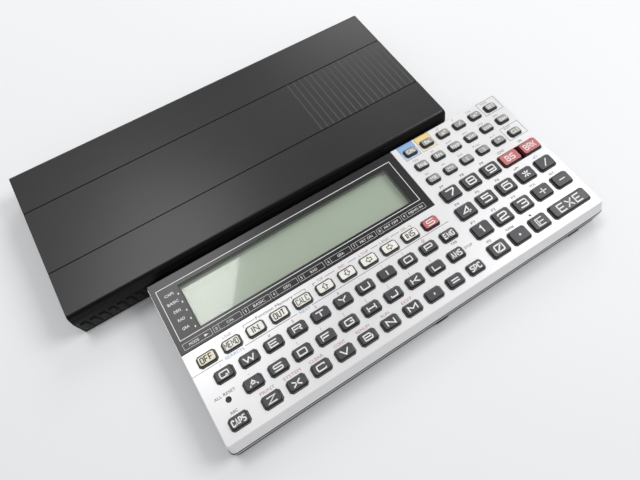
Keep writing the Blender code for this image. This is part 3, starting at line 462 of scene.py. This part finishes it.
def round_keys(bm):
    """Rounds the corners, the shoulder and the crown of every key in the mesh."""
    crown, shoulder = body_top + key_rise, body_top + key_shoulder
    near = 0.02 * mm

    def bevel(edges, offset, segments):
        made = bmesh.ops.bevel(bm, geom=edges, offset=offset, segments=segments, profile=0.5,
                               affect="EDGES", material=-1, clamp_overlap=True)
        for face in made["faces"]:
            face.smooth = True

    upright = [e for e in bm.edges if max(v.co.z for v in e.verts) > shoulder - near
               and abs(e.verts[0].co.z - e.verts[1].co.z) > 0.3 * mm]
    bevel(upright, key_corner, 4)
    bevel([e for e in bm.edges if all(abs(v.co.z - crown) < near for v in e.verts)
           and any(f.normal.z < 0.9 for f in e.link_faces)], crown_rounding, 3)
    bm.normal_update()
    bevel([e for e in bm.edges if all(abs(v.co.z - shoulder) < near for v in e.verts)],
          shoulder_rounding, 2)
    bmesh.ops.recalc_face_normals(bm, faces=bm.faces)


def lower_part(node, height):
    """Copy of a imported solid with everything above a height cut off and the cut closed."""
    bm = bmesh.new()
    bm.from_mesh(nodes[node].data)
    bmesh.ops.remove_doubles(bm, verts=bm.verts, dist=0.001 * mm)
    cut = bmesh.ops.bisect_plane(bm, geom=bm.verts[:] + bm.edges[:] + bm.faces[:],
                                 plane_co=(0, 0, height), plane_no=(0, 0, 1), clear_outer=True)
    edges = [item for item in cut["geom_cut"] if isinstance(item, bmesh.types.BMEdge)]
    bmesh.ops.holes_fill(bm, edges=edges)
    return bm


# Words

word_curve = bpy.data.curves.new("words", "FONT")
word_curve.align_x = "CENTER"
word_curve.resolution_u = 3
word_curve.extrude = 0.5
word_thing = bpy.data.objects.new("words", word_curve)
scene.collection.objects.link(word_thing)


def word_shape(words, weight):
    """Mesh of some words in the built-in face."""
    word_curve.body = words
    word_curve.offset = weight
    word_thing.update_tag()
    bpy.context.view_layer.update()
    graph = bpy.context.evaluated_depsgraph_get()
    return bpy.data.meshes.new_from_object(word_thing.evaluated_get(graph))


def capital_height(weight):
    """Lowest point and height of a capital letter in the built-in face."""
    shape = word_shape("H", weight)
    heights = [v.co.y for v in shape.vertices]
    bpy.data.meshes.remove(shape)
    return min(heights), max(heights) - min(heights)


capitals = {weight: capital_height(weight) for weight in (0.0, 0.012, 0.02)}


def add_words(bm, words, place, height, width=None, weight=0.0):
    """Adds words to a mesh, their middle at a place, in a given capital height and width."""
    shape = word_shape(words, weight)
    low, tall = capitals[weight]
    xs = [v.co.x for v in shape.vertices]
    span = max(xs) - min(xs)
    across = width / span if width else height / tall
    shift = Matrix.Translation((-(max(xs) + min(xs)) / 2, -low - tall / 2, 0))
    size = Matrix.Diagonal((across, height / tall, ink_depth, 1))
    shape.transform(Matrix.Translation(place) @ size @ shift)
    bm.from_mesh(shape)
    bpy.data.meshes.remove(shape)


# Key letters: pen strokes over a grid of 8 by 8. Corners marked r are round, ^ is an arrow.
glyphs = {
    "A": "00 48 80;13 73", "B": "04 74 78r 08 00;74 84 80r 00", "C": "86 88r 08r 00r 80r 82",
    "D": "00 08 88r 80r 00", "E": "80 00 08 88;04 74", "F": "00 08 88;04 74",
    "G": "86 88r 08r 00r 80r 84 54", "H": "00 08;80 88;04 84", "I": "40 48",
    "J": "88 80r 00r 03", "K": "00 08;88 34 80;04 34", "L": "08 00 80", "M": "00 08 43 88 80",
    "N": "00 08 80 88", "O": "40 80r 88r 08r 00r 40", "P": "00 08 88r 83r 03",
    "Q": "40 80r 88r 08r 00r 40;53 80", "R": "00 08 88r 84r 04;54 80",
    "S": "87 88r 08r 04r 84r 80r 00r 01", "T": "08 88;40 48", "U": "08 00r 80r 88",
    "V": "08 40 88", "W": "08 20 46 60 88", "X": "00 88;08 80", "Y": "08 44 88;44 40",
    "Z": "08 88 00 80", "+": "04 84;40 48", "-": "04 84", "*": "40 48;01 87;07 81",
    "/": "10 78", "=": "02 82;06 86", ",": "88 20", ".": "00 08 88 80 00",
    "e": "80 00 08 88;24 84;20 28", "^": "20 24 04 48 84 64 60 20",
    "0": "40 80r 88r 08r 00r 40;10 78", "1": "16 48 40", "2": "06 08r 88r 84r 03 00 80",
    "3": "07 08r 88r 80r 00r 01;24 84",
    "4": "60 68 02 82", "5": "88 08 05 85r 80r 00r 01", "6": "88 08r 00r 80r 85r 05",
    "7": "08 88 87 30", "8": "40 80r 88r 08r 00r 40;04 84", "9": "00 80r 88r 08r 03r 83"}

# Widths of letters in a word, as shares of the usual one
letter_shares = {"I": 0.12, "1": 0.5, "M": 1.35, ",": 0.12, ".": 0.12}


def pen_line(text, left, low, wide, tall, radius):
    """Points of one stroke in metres, with its round corners turned into arcs."""
    marks = text.split()
    points = [Vector((left + int(m[0]) / 8 * wide, low + int(m[1]) / 8 * tall)) for m in marks]
    line = []
    for i, (mark, point) in enumerate(zip(marks, points)):
        if not mark.endswith("r"):
            line.append(point)
            continue
        before, after = points[i - 1] - point, points[i + 1] - point
        reach = min(radius, before.length / 2, after.length / 2)
        start, end = point + before.normalized() * reach, point + after.normalized() * reach
        for step in range(4):
            t = step / 3
            line.append(start * (1 - t) ** 2 + point * (2 * t * (1 - t)) + end * t ** 2)
    return [p for i, p in enumerate(line) if not i or (p - line[i - 1]).length > 1e-6]


def pen_faces(bm, line, half):
    """Flat band of even width along a line, mitred at its corners."""
    closed = (line[0] - line[-1]).length < 1e-6
    points = line[:-1] if closed else line
    sides = []
    for i, point in enumerate(points):
        before = points[i - 1] if i or closed else None
        after = points[(i + 1) % len(points)] if i + 1 < len(points) or closed else None
        ways = [(point - before).normalized()] if before is not None else []
        ways += [(after - point).normalized()] if after is not None else []
        normals = [Vector((-way.y, way.x)) for way in ways]
        middle = sum(normals, Vector((0, 0))).normalized()
        reach = half / max(0.45, middle.dot(normals[0]))
        sides.append([bm.verts.new((*(point + middle * side * reach), 0)) for side in (-1, 1)])
    loop = sides + sides[:1] if closed else sides
    return [bm.faces.new((a[0], b[0], b[1], a[1])) for a, b in zip(loop, loop[1:])]


def add_strokes(bm, words, place, height, width, stroke, turn=0.0):
    """Adds words in pen strokes of even width, their middle at a place."""
    gap, shares, unit, trim = 0.28, [1.0], width, stroke
    if len(words) > 1:
        shares = [letter_shares.get(letter, 1.0) for letter in words]
        unit = (width - stroke) / (sum(shares) + gap * (len(words) - 1))
        trim = stroke * 0.5
    made = bmesh.new()
    x = -width / 2
    for letter, share in zip(words, shares):
        wide = max(share * unit - trim, 0.01 * mm)
        for text in glyphs[letter].split(";"):
            line = pen_line(text, x + stroke / 2, -(height - stroke) / 2, wide, height - stroke,
                            0.2 * height)
            pen_faces(made, line, stroke / 2)
        x += (share + gap) * unit
    bmesh.ops.recalc_face_normals(made, faces=made.faces)
    pull(made, made.faces[:], (0, 0, ink_depth), keep=False)
    bmesh.ops.recalc_face_normals(made, faces=made.faces)
    lift = Matrix.Translation(Vector(place) - Vector((0, 0, ink_depth / 2)))
    bmesh.ops.transform(made, matrix=lift @ Matrix.Rotation(turn, 4, "Z"), verts=made.verts)
    join(bm, made)


def add_line(bm, x0, y0, x1, y1, width=0.18 * mm):
    """Printed line between two places on the top, along X or along Y."""
    a, b = at(min(x0, x1), max(y0, y1)), at(max(x0, x1), min(y0, y1))
    grow = width / 2
    bar(bm, a.x - grow, b.x + grow, a.y - grow, b.y + grow, body_top + print_lift - ink_depth,
        body_top + print_lift + ink_depth / 2)


def add_box(bm, x0, y0, x1, y1, width):
    """Printed outline of a rectangle on the top."""
    add_line(bm, x0, y0, x1, y0, width)
    add_line(bm, x0, y1, x1, y1, width)
    add_line(bm, x0, y0 + width, x0, y1 - width, width)
    add_line(bm, x1, y0 + width, x1, y1 - width, width)


def flat_area(bm, outline):
    """Printed area on the top with a given outline in scene coordinates."""
    low = body_top + print_lift - ink_depth
    face = bm.faces.new([bm.verts.new((x, y, low)) for x, y in outline])
    pull(bm, [face], (0, 0, ink_depth * 1.5))
    bmesh.ops.recalc_face_normals(bm, faces=bm.faces)


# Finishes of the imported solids

silver = silver_paint()
dark_case = tray_plastic()
black_resin = moulded_plastic("black_resin", (0.012, 0.012, 0.013), (0.03, 0.03, 0.031),
                              1800.0, 0.008 * mm, 0.55)
grey_rubber = moulded_plastic("grey_rubber", (0.07, 0.07, 0.07), (0.12, 0.12, 0.12), 1500.0,
                              0.02 * mm, 0.82)
metal = bright_metal()
board = circuit_board()
film = display_film()
hard_plastic = case_plastic()
# Each key plastic: crown colour, then painted flank shade, then painted shoulder highlight.
dark_key = key_plastic("dark_key_plastic", (0.064, 0.064, 0.069), (0.005, 0.005, 0.006),
                       (0.3, 0.3, 0.305), Specular_IOR_Level=0.35)
grey_key = key_plastic("grey_key_plastic", (0.3, 0.3, 0.29), (0.02, 0.02, 0.021),
                       (0.12, 0.12, 0.12))
cream_key = key_plastic("cream_key_plastic", (0.76, 0.75, 0.7), (0.03, 0.028, 0.025),
                        (0.3, 0.29, 0.26))
off_key = key_plastic("yellowish_key_plastic", (0.72, 0.68, 0.51), (0.03, 0.028, 0.022),
                      (0.3, 0.28, 0.2))
red_key = key_plastic("red_key_plastic", (0.5, 0.135, 0.14), (0.06, 0.006, 0.01),
                      (0.2, 0.04, 0.05))
white_ink = ink("white_ink", (0.86, 0.86, 0.86))
black_ink = ink("black_ink", (0.02, 0.02, 0.022))
red_ink = ink("red_ink", (0.5, 0.23, 0.27))
blue_ink = ink("blue_ink", (0.2, 0.42, 0.62))
blue_inks = (ink("blue_fill_ink", (0.26, 0.46, 0.76)), ink("pale_blue_ink", (0.56, 0.66, 0.82)),
             ink("blue_edge_ink", (0.07, 0.13, 0.36)))
yellow_inks = (ink("yellow_fill_ink", (0.9, 0.68, 0.28)), ink("pale_yellow_ink", (0.9, 0.8, 0.6)),
               ink("brown_edge_ink", (0.3, 0.17, 0.07)))

solid_finishes = {
    "upper_case": silver, "lower_case": dark_case, "lcd_glass": film, "lcd_frame": black_resin,
    "elastomer_strip_front": grey_rubber, "elastomer_strip_rear": grey_rubber,
    "key_board": board, "main_board": board, "board_ribbon": black_resin,
    "piezo_buzzer": metal, "backup_cell": metal, "cell_contact": metal,
    "main_cell_left": metal, "main_cell_right": metal, "expansion_connector": black_resin,
    "rubber_foot_front": grey_rubber, "rubber_foot_rear": grey_rubber,
    "screw_rear_left": metal, "screw_rear_right": metal, "screw_front_left": metal,
    "screw_front_right": metal, "reset_button": black_resin, "contrast_dial": dark_case,
    "battery_cover": dark_case, "connector_cover": dark_case}
for node, finish in solid_finishes.items():
    data = nodes[node].data
    data.materials.clear()
    data.materials.append(finish)


# Keys that move, each with its legend

legend_height = body_top + key_rise + print_lift
number_legends = {
    "key_7": "7", "key_8": "8", "key_9": "9", "key_4": "4", "key_5": "5", "key_6": "6",
    "key_1": "1", "key_2": "2", "key_3": "3", "key_0": "0", "key_multiply": "*",
    "key_divide": "/", "key_plus": "+", "key_minus": "-", "key_point": ".",
    "key_exponent": "e", "key_execute": "EXE", "key_backspace": "BS", "key_break": "BRK"}
number_sizes = {"key_execute": (14.0, 4.2, 0.6), "key_backspace": (5.4, 3.1, 0.5),
                "key_break": (6.8, 3.2, 0.46), "key_plus": (4.5, 3.7, 0.5),
                "key_minus": (3.9, 3.7, 0.5), "key_multiply": (3.9, 3.7, 0.62),
                "key_divide": (4.2, 4.0, 0.55), "key_point": (0.95, 0.95, 0.45),
                "key_1": (3.1, 3.9, 0.68), "key_exponent": (4.2, 4.0, 0.45)}
function_legends = {
    "key_off": ("OFF", 5.6), "key_memo": ("MEMO", 6.4), "key_in": ("IN", 3.4),
    "key_out": ("OUT", 5.4), "key_calc": ("CALC", 5.9), "key_insert": ("INS", 4.6),
    "key_shift": ("S", 3.9)}
function_arrows = {"key_up": 0, "key_down": 180, "key_left": 90, "key_right": -90}
red_keys = ("key_shift", "key_backspace", "key_break")
pair_keys = ("key_backspace", "key_break")
flange_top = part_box("key_7")[1].z - key_rise - flange_depth


def key_middle(node):
    """Middle of a key's neck, and its size there."""
    low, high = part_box(node)
    side = 0.0 if node in pair_keys else flange_reach
    width, depth = high.x - low.x - 2 * side, high.y - low.y - 2 * flange_reach
    return (low.x + high.x) / 2, (low.y + high.y) / 2, width, depth, low.z


def cap_middle(x, y):
    """Middle of the crown of a key whose neck has its middle here."""
    return Vector((x, y + (front_bevel - side_bevel) / 2, legend_height))


def make_key(node, finish):
    """Key with its flange, neck and rounded cap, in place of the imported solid."""
    x, y, width, depth, foot = key_middle(node)
    side = 0.0 if node in pair_keys else flange_reach
    bm = bmesh.new()
    stack(bm, key_steps(x, y, width, depth, foot, (side, flange_reach, flange_top)))
    round_keys(bm)
    piece = new_piece(node + "_cap", bm, finish, node)
    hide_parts(node)


for node, words in number_legends.items():
    red = node in red_keys
    make_key(node, red_key if red else dark_key)
    x, y = key_middle(node)[:2]
    bm = bmesh.new()
    width, height, stroke = number_sizes.get(node, (4.8, 3.9, 0.66))
    place = cap_middle(x, y)
    add_strokes(bm, words, place, height * mm, width * mm, stroke * mm)
    new_piece(node + "_legend", bm, white_ink, node)

for node, turn in function_arrows.items():
    make_key(node, cream_key)
    bm = bmesh.new()
    add_strokes(bm, "^", cap_middle(*key_middle(node)[:2]), 2.95 * mm, 2.8 * mm, 0.33 * mm,
                turn=math.radians(turn))
    new_piece(node + "_legend", bm, black_ink, node)

for node, (words, width) in function_legends.items():
    red = node in red_keys
    plain = off_key if node == "key_off" else cream_key
    slot = "red_key" if red else "cream_key"
    make_key(node, red_key if red else plain)
    bm = bmesh.new()
    add_strokes(bm, words, cap_middle(*key_middle(node)[:2]), 2.8 * mm, width * mm,
                (0.34 if len(words) > 3 else 0.43) * mm)
    new_piece(node + "_legend", bm, white_ink if red else black_ink, node)


# Keys moulded with their mats

letter_rows = (("QWERTYUIOP", "ENG"), ("ASDFGHJKL", "ANS"), ("ZXCVBNM,=", "SPC"))
small_words = (("CAL", "fx", "x²", "√", "x³", "SET"),
               ("log", "ln", "hyp", "sin", "cos", "tan"),
               ("MR", "M+", "(", ")", "^", "CLS"))


def letter_place(row, column):
    """Place of a letter key on the computer's top."""
    start = letter_column + (letter_stagger, letter_pitch, letter_pitch + letter_stagger)[row]
    return start + column * letter_pitch, function_row + (row + 1) * letter_row_pitch


def static_keys(name, places, size, finish, mat):
    """Row of moulded keys above their mat."""
    bm = bmesh.new()
    for from_left, from_rear in places:
        middle = at(from_left, from_rear)
        stack(bm, key_steps(middle.x, middle.y, *size, cut_height))
    round_keys(bm)
    piece = new_piece(name, bm, finish, "computer")
    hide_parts(mat)


cut_height = body_top - 1.1 * mm
letter_widths = {"I": 0.47, ",": 1.0, "CAPS": 6.2, "ENG": 5.7, "ANS": 5.7, "SPC": 5.7, "=": 4.2,
                 "J": 3.6, "L": 3.7, "W": 5.1, "M": 4.4}
small_widths = {"(": 0.8, ")": 0.8, "^": 1.6, "√": 2.2}
legends = bmesh.new()
for row, (letters, last) in enumerate(letter_rows):
    places = [letter_place(row, i) for i in range(len(letters) + 1)]
    words = list(letters) + [last]
    if row == 2:
        places.append((letter_column, places[0][1]))
        words.append("CAPS")
    row_name = ("rear", "middle", "front")[row]
    static_keys("letter_keys_" + row_name, places, letter_size, dark_key,
                "letter_key_mat")
    for (from_left, from_rear), word in zip(places, words):
        middle = at(from_left, from_rear)
        width = letter_widths.get(word, 4.1)
        height, stroke = (1.5, 0.55) if word == "," else (2.75, 0.52)
        add_strokes(legends, word, cap_middle(middle.x, middle.y), height * mm, width * mm,
                    stroke * mm)
new_piece("letter_legends", legends, white_ink, "computer")

legends = bmesh.new()
for row, words in enumerate(small_words):
    places = [(small_column + i * small_pitch, small_row + row * small_row_pitch)
              for i in range(len(words))]
    row_name = ("rear", "middle", "front")[row]
    static_keys("small_keys_" + row_name, places, small_size, grey_key,
                "number_key_mat")
    for (from_left, from_rear), word in zip(places, words):
        middle = at(from_left, from_rear)
        width = small_widths.get(word, 1.3 * len(word) + 0.5)
        add_words(legends, word, cap_middle(middle.x, middle.y), 1.9 * mm, width * mm, 0.012)
new_piece("small_legends", legends, white_ink, "computer")

for node, finish, slot in (("letter_key_mat", dark_key, "dark_key"),
                           ("number_key_mat", grey_key, "grey_key")):
    mat = new_piece(node + "_sheet", lower_part(node, cut_height), finish, "computer")
    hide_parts(node)


# Hard case

case_low, case_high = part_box("hard_case")
case_middle = (case_low.y + case_high.y) / 2
out = (case_high.y - case_low.y) / 2 - case_rib_rise
rim, band = out - case_shoulder, out - 0.8 * mm
case_top, floor_line = case_high.z, case_low.z
groove = rim - groove_inset


def arc(centre, radius, start, end, steps):
    """Points of an arc in the case's section, from one angle to another in degrees."""
    turns = [math.radians(start + (end - start) * i / steps) for i in range(steps + 1)]
    return [(centre[0] + radius[0] * math.cos(t), centre[1] + radius[1] * math.sin(t))
            for t in turns]


def case_section():
    """Outline of the case across its length, as (y from its middle, height)."""
    inner, lip, ceiling = out - 2 * mm, out - 4.2 * mm, case_top - 1.8 * mm
    wall_top, band_foot, foot = case_top - 5.2 * mm, case_top - 2.6 * mm, 0.5 * mm
    side = [(lip, floor_line), (out - foot, floor_line)]
    side += arc((out - foot, floor_line + foot), (foot, foot), -60, 0, 2)
    side += [(out, wall_top), (out - 0.25 * mm, wall_top + 1.2 * mm)]
    side += [(band + 0.06 * mm, band_foot - 0.1 * mm), (band - 0.06 * mm, band_foot)]
    side += arc((rim, band_foot), (band - rim - 0.06 * mm, 2.45 * mm), 12, 84, 7)
    side += [(rim, case_top - 0.1 * mm), (rim - 0.12 * mm, case_top)]
    groove_floor = case_top - 0.4 * mm
    for y in (groove + groove_half, groove - groove_half):
        notch = [(y, case_top), (y, groove_floor)]
        side += notch if y > groove else notch[::-1]
    low = floor_line + 1.4 * mm
    inside = [(-lip, low), (-inner, low), (-inner, ceiling), (inner, ceiling), (inner, low),
              (lip, low)]
    return side + [(-y, z) for y, z in reversed(side)] + inside


def grip_rib(bm, x, side):
    """Upright rounded rib on one long wall of the case."""
    root = case_middle + side * band
    face = case_middle + side * (out + case_rib_rise)
    high, low = case_top - 6.6 * mm, case_top - 13.3 * mm
    made = bmesh.new()
    bar(made, x - case_rib_half, x + case_rib_half, min(root, face), max(root, face), low, high)
    edges = [e for e in made.edges if all(abs(v.co.y - face) < 0.01 * mm for v in e.verts)]
    rounded = bmesh.ops.bevel(made, geom=edges, offset=0.65 * mm, segments=4, profile=0.5,
                              affect="EDGES", material=-1)
    for part in rounded["faces"]:
        part.smooth = True
    join(bm, made)


bm = bmesh.new()
section = bm.faces.new([bm.verts.new((case_low.x, case_middle + y, z)) for y, z in case_section()])
pull(bm, [section], (case_high.x - case_low.x, 0, 0))
bmesh.ops.recalc_face_normals(bm, faces=bm.faces)
cross_starts = [case_low.x + cross_start + cross_pitch * i for i in range(cross_count)]
for x in cross_starts:
    for edge in (x, x + cross_width):
        bmesh.ops.bisect_plane(bm, geom=bm.verts[:] + bm.edges[:] + bm.faces[:],
                               plane_co=(edge, 0, 0), plane_no=(1, 0, 0))
sunk = []
for face in bm.faces:
    middle = face.calc_center_median()
    if (face.normal.z > 0.9 and middle.z > case_top - 0.01 * mm
            and abs(middle.y - case_middle) < groove - groove_half
            and any(x < middle.x < x + cross_width for x in cross_starts)):
        sunk.append(face)
bmesh.ops.inset_individual(bm, faces=sunk, thickness=0.32 * mm, depth=-0.12 * mm,
                           use_even_offset=True)
for face in bm.faces:
    face.smooth = 0.05 < abs(face.normal.z) < 0.98 and abs(face.normal.y) > 0.15
for i in range(case_rib_count):
    for side in (-1, 1):
        grip_rib(bm, (case_low.x + case_high.x) / 2 + (i - case_rib_count // 2) * case_rib_pitch,
                 side)
sleeve = new_piece("hard_case_sleeve", bm, hard_plastic, "hard_case")
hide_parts("hard_case")


# Display

view_low = (left_end + 12.2 * mm, rear_edge - 27.9 * mm)
view_high = (left_end + 119.9 * mm, rear_edge - 6.7 * mm)
bm = bmesh.new()
bar(bm, plate_low.x, plate_high.x, plate_low.y, plate_high.y, plate_low.z, plate_high.z)
rims = [e for e in bm.edges if all(v.co.z > plate_high.z - 0.01 * mm for v in e.verts)]
bmesh.ops.bevel(bm, geom=rims, offset=edge_rounding, segments=2, profile=0.5, affect="EDGES",
                material=-1)
plate = new_piece("display_plate", bm, front_plate(view_low, view_high), "computer")
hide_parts("display_panel", "display_window")

# Dark liner of the display's opening
liner = bmesh.new()
wall = 0.25 * mm
shelf_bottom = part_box("lcd_glass")[1].z + 0.3 * mm
liner_top = plate_low.z - 0.05 * mm
for x0, x1, y0, y1 in ((view_low[0], view_high[0], view_low[1], view_low[1] + wall),
                       (view_low[0], view_high[0], view_high[1] - wall, view_high[1]),
                       (view_low[0], view_low[0] + wall, view_low[1] + wall,
                        view_high[1] - wall),
                       (view_high[0] - wall, view_high[0], view_low[1] + wall,
                        view_high[1] - wall)):
    bar(liner, x0, x1, y0, y1, shelf_bottom, liner_top)
new_piece("opening_liner", liner, black_resin, "computer")


# Printing on the plate

plate_print = bmesh.new()
add_box(plate_print, 3.02 * mm, 4.78 * mm, 123.65 * mm, 29.16 * mm, 0.3 * mm)
for words, from_rear in (("CAPS", 8.8), ("BASIC", 12.91), ("DEG", 17.02), ("RAD", 21.13),
                         ("GRA", 25.24)):
    add_words(plate_print, words, at(7.4 * mm, from_rear * mm, print_lift), 1.25 * mm,
              1.02 * len(words) * mm, 0.012)
    add_words(plate_print, ".", at(10.95 * mm, (from_rear - 0.1) * mm, print_lift), 4.2 * mm,
              0.6 * mm, 0.02)
mode_edges = (3.02, 15.61, 16.62, 29.21, 30.22, 42.81, 43.69, 56.29, 57.17, 69.51, 70.77, 83.36,
              84.36, 96.83, 97.84, 110.43, 111.31, 123.9)
mode_words = ("MODE", "CAL", "BASIC", "DEG", "RAD", "GRA", "PRT ON", "PRT OFF", "MEMO IN")
mode_digits = ("", "0", "1", "4", "5", "6", "7", "8", "9")
strip_rear, strip_middle, strip_front = 30.98 * mm, 32.32 * mm, 33.66 * mm
strip_line, digit_cell, pointer_room = 0.12 * mm, 2.4 * mm, 1.6 * mm
for i, (words, digit) in enumerate(zip(mode_words, mode_digits)):
    x0, x1 = mode_edges[2 * i] * mm, mode_edges[2 * i + 1] * mm
    add_box(plate_print, x0, strip_rear, x1, strip_front, strip_line)
    middle = (x0 + x1) / 2 - pointer_room
    if digit:
        start = x0 + digit_cell
        middle = (start + x1) / 2
        add_line(plate_print, start, strip_rear + 0.16 * mm, start, strip_front - 0.16 * mm,
                 strip_line)
        add_words(plate_print, digit, at(x0 + digit_cell / 2, strip_middle, print_lift), 1.3 * mm,
                  (0.3 if digit == "1" else 0.75) * mm)
    add_words(plate_print, words, at(middle, strip_middle, print_lift), 1.15 * mm,
              1.08 * len(words) * mm)
pointer = [at(12.3 * mm, 31.8 * mm, print_lift), at(12.3 * mm, 32.9 * mm, print_lift),
           at(14.2 * mm, 32.35 * mm, print_lift)]
face = plate_print.faces.new([plate_print.verts.new(p) for p in pointer])
pull(plate_print, [face], (0, 0, ink_depth / 2), keep=False)
new_piece("plate_printing", plate_print, white_ink, "computer")


# Printing on the silver top

black_print, red_print, blue_print = bmesh.new(), bmesh.new(), bmesh.new()
bracket_y, bracket_end = 37.2, 38.3
for x0, x1 in ((27.3, 32.6), (51.6, 56.8), (60.8, 62.0), (67.1, 71.9), (78.9, 83.0), (90.8, 94.2),
               (101.5, 105.9), (110.9, 111.9)):
    add_line(black_print, x0 * mm, bracket_y * mm, x1 * mm, bracket_y * mm)
for x in (27.3, 56.8, 60.8, 111.9):
    add_line(black_print, x * mm, (bracket_y + 0.15) * mm, x * mm, bracket_end * mm)
add_words(black_print, "Function Memory", at(42.1 * mm, 37.2 * mm, print_lift), 1.15 * mm,
          17.6 * mm)
for x0, x1 in ((0.8, 14.1), (24.3, 48.5), (56.0, 127.4)):
    add_line(black_print, x0 * mm, 44.9 * mm, x1 * mm, 44.9 * mm)
for words, x, y, width in (("ALL RESET", 8.7, 57.05, 9.2), ("TAB", 122.8, 54.5, 3.2),
                           ("STOP", 127.2, 59.0, 4.4), ("ABC", 8.84, 64.5, 3.2)):
    add_words(black_print, words, at(x * mm, y * mm, print_lift), 1.1 * mm, width * mm)
for words, x, width in (("SEARCH", 19.2, 8.2), ("NEXT", 52.2, 5.2)):
    add_words(blue_print, words, at(x * mm, 45.2 * mm, print_lift), 1.15 * mm, width * mm)
for words, x in (("LINE", 20.0), ("TOP", 64.5), ("END", 75.4), ("L.TOP", 86.9), ("L.END", 97.9),
                 ("DEL", 108.4)):
    add_words(red_print, words, at(x * mm, 37.15 * mm, print_lift), 1.2 * mm,
              0.98 * len(words) * mm)
key_symbols = (("!", "\"", "#", "$", "%", "&", "'", "\\", "|", "@", "-"),
               ("~", "_", "?", "{", "}", "[", "]", "(", ")"),
               ("PRINT", "SYSTEM", "CLEAR", "CONT", "RENUM", "RUN", "EDIT", ";", ":", "-"))
for row, symbols in enumerate(key_symbols):
    for column, words in enumerate(symbols):
        x, y = letter_place(row, column)
        width = 1.3 * len(words) * mm if len(words) > 1 else None
        above = (4.05, 4.25, 4.1)[row] * mm
        add_words(red_print, words, at(x, y - above, print_lift), 1.25 * mm, width)
number_words = (("P7", "P8", "P9", "CONT", "ON"), ("P4", "P5", "P6", "nPr", "nCr"),
                ("P1", "P2", "P3", "POL", "REC"), ("P0", "RAN#", "π", "", ""))
for row, line in enumerate(number_words):
    for column, words in enumerate(line):
        if words:
            x, y = 136.2 + column * 11.85, 29.26 + row * 10.96
            add_words(black_print, words, at(x * mm, y * mm, print_lift), 1.2 * mm,
                      1.05 * len(words) * mm)
small_functions = (("", "", "x!", "∛", "1/x", "MODE"),
                   ("10x", "ex", "pol", "asn", "acs", "atn"),
                   ("MC", "M-", "Int", "Frac", "x-1", "INIT"))
for row, line in enumerate(small_functions):
    for column, words in enumerate(line):
        if words:
            x, y = 134.9 + column * 9.83, 2.1 + row * 8.95
            add_words(red_print, words, at(x * mm, y * mm, print_lift), 1.15 * mm,
                      len(words) * mm)
field_line, field_inset = 0.16 * mm, 0.1
for x0, y0, x1, y1 in ((180.1, 1.0, 191.0, 9.25), (179.9, 19.1, 190.95, 26.9)):
    add_box(black_print, x0 * mm, y0 * mm, x1 * mm, y1 * mm, field_line)
for name, (fill, pale, edge), (x0, y0, x1, y1), column in (
        ("blue_field", blue_inks, (131.0, 0.9, 139.8, 9.35), 0),
        ("yellow_field", yellow_inks, (141.1, 0.9, 149.4, 9.4), 1)):
    keys = at(small_column + column * small_pitch, small_row)
    half, reach = small_size[0] / 2 + opening_gap, small_size[1] / 2 + opening_gap
    near = at((x0 + field_inset) * mm, (y1 - field_inset) * mm)
    far = at((x1 - field_inset) * mm, (y0 + field_inset) * mm)
    left, right, low, high = keys.x - half, keys.x + half, keys.y - reach, keys.y + reach
    step = high - opening_cut
    side = [(left, step), (left + opening_cut, high), (right - opening_cut, high), (right, step)]
    rear = [(near.x, step)] + side + [(far.x, step), (far.x, far.y), (near.x, far.y)]
    front = [(near.x, step), (left, step), (left, low + opening_cut), (left + opening_cut, low),
             (right - opening_cut, low), (right, low + opening_cut), (right, step),
             (far.x, step), (far.x, near.y), (near.x, near.y)]
    for part, ink_used, outline in (("rear", fill, rear), ("front", pale, front)):
        field = bmesh.new()
        flat_area(field, outline)
        new_piece(name + "_" + part, field, ink_used, "computer")
    field = bmesh.new()
    add_box(field, x0 * mm, y0 * mm, x1 * mm, y1 * mm, field_line)
    new_piece(name + "_edge", field, edge, "computer")
new_piece("red_printing", red_print, red_ink, "computer")
new_piece("blue_printing", blue_print, blue_ink, "computer")
new_piece("black_printing", black_print, black_ink, "computer")


# Floor, light and camera

bm = bmesh.new()
bmesh.ops.create_grid(bm, x_segments=1, y_segments=1, size=6.0)
mesh = bpy.data.meshes.new("floor")
bm.to_mesh(mesh)
bm.free()
floor = bpy.data.objects.new("floor", mesh)
scene.collection.objects.link(floor)
mesh.materials.append(pale_floor())

bpy.data.objects.remove(word_thing)
bpy.data.curves.remove(word_curve)

world = bpy.data.worlds.new("soft_room")
scene.world = world
world.use_nodes = True
world.node_tree.nodes["Background"].inputs["Color"].default_value = (1, 1, 1, 1)
world.node_tree.nodes["Background"].inputs["Strength"].default_value = 0.42


def add_lamp(name, place, aim, size, power, turn=0.0):
    """Soft square lamp."""
    data = bpy.data.lights.new(name, "AREA")
    data.shape = "RECTANGLE"
    data.size, data.size_y = size
    data.energy = power
    lamp = bpy.data.objects.new(name, data)
    way = (Vector(aim) - Vector(place)).to_track_quat("-Z", "Y").to_matrix().to_4x4()
    lamp.matrix_world = Matrix.Translation(place) @ way @ Matrix.Rotation(turn, 4, "Z")
    scene.collection.objects.link(lamp)


add_lamp("side_softbox", (0.8, -0.15, 0.8), (0, 0, 0), (0.5, 0.5), 5.5)
add_lamp("rear_softbox", (0.75, 0.95, 0.7), (0, 0, 0), (0.5, 0.5), 3.5)
add_lamp("window", (-0.155, 0.45, 0.9), (-0.155, 0.45, 0), (0.32, 0.5), 3.3, math.radians(-35))

camera_data = bpy.data.cameras.new("photo_camera")
camera_data.sensor_width = 36.0
camera_data.lens = 26.6
camera_data.clip_start = 0.005
camera = bpy.data.objects.new("photo_camera", camera_data)
right, up, back = (0.845, -0.534, -0.018), (0.492, 0.764, 0.418), (-0.209, -0.363, 0.908)
turn = Matrix((right, up, back)).transposed()
camera.matrix_world = Matrix.Translation((-0.04989, -0.10094, 0.2024)) @ turn.to_4x4()
scene.collection.objects.link(camera)
scene.camera = camera
scene.view_settings.view_transform = "Standard"
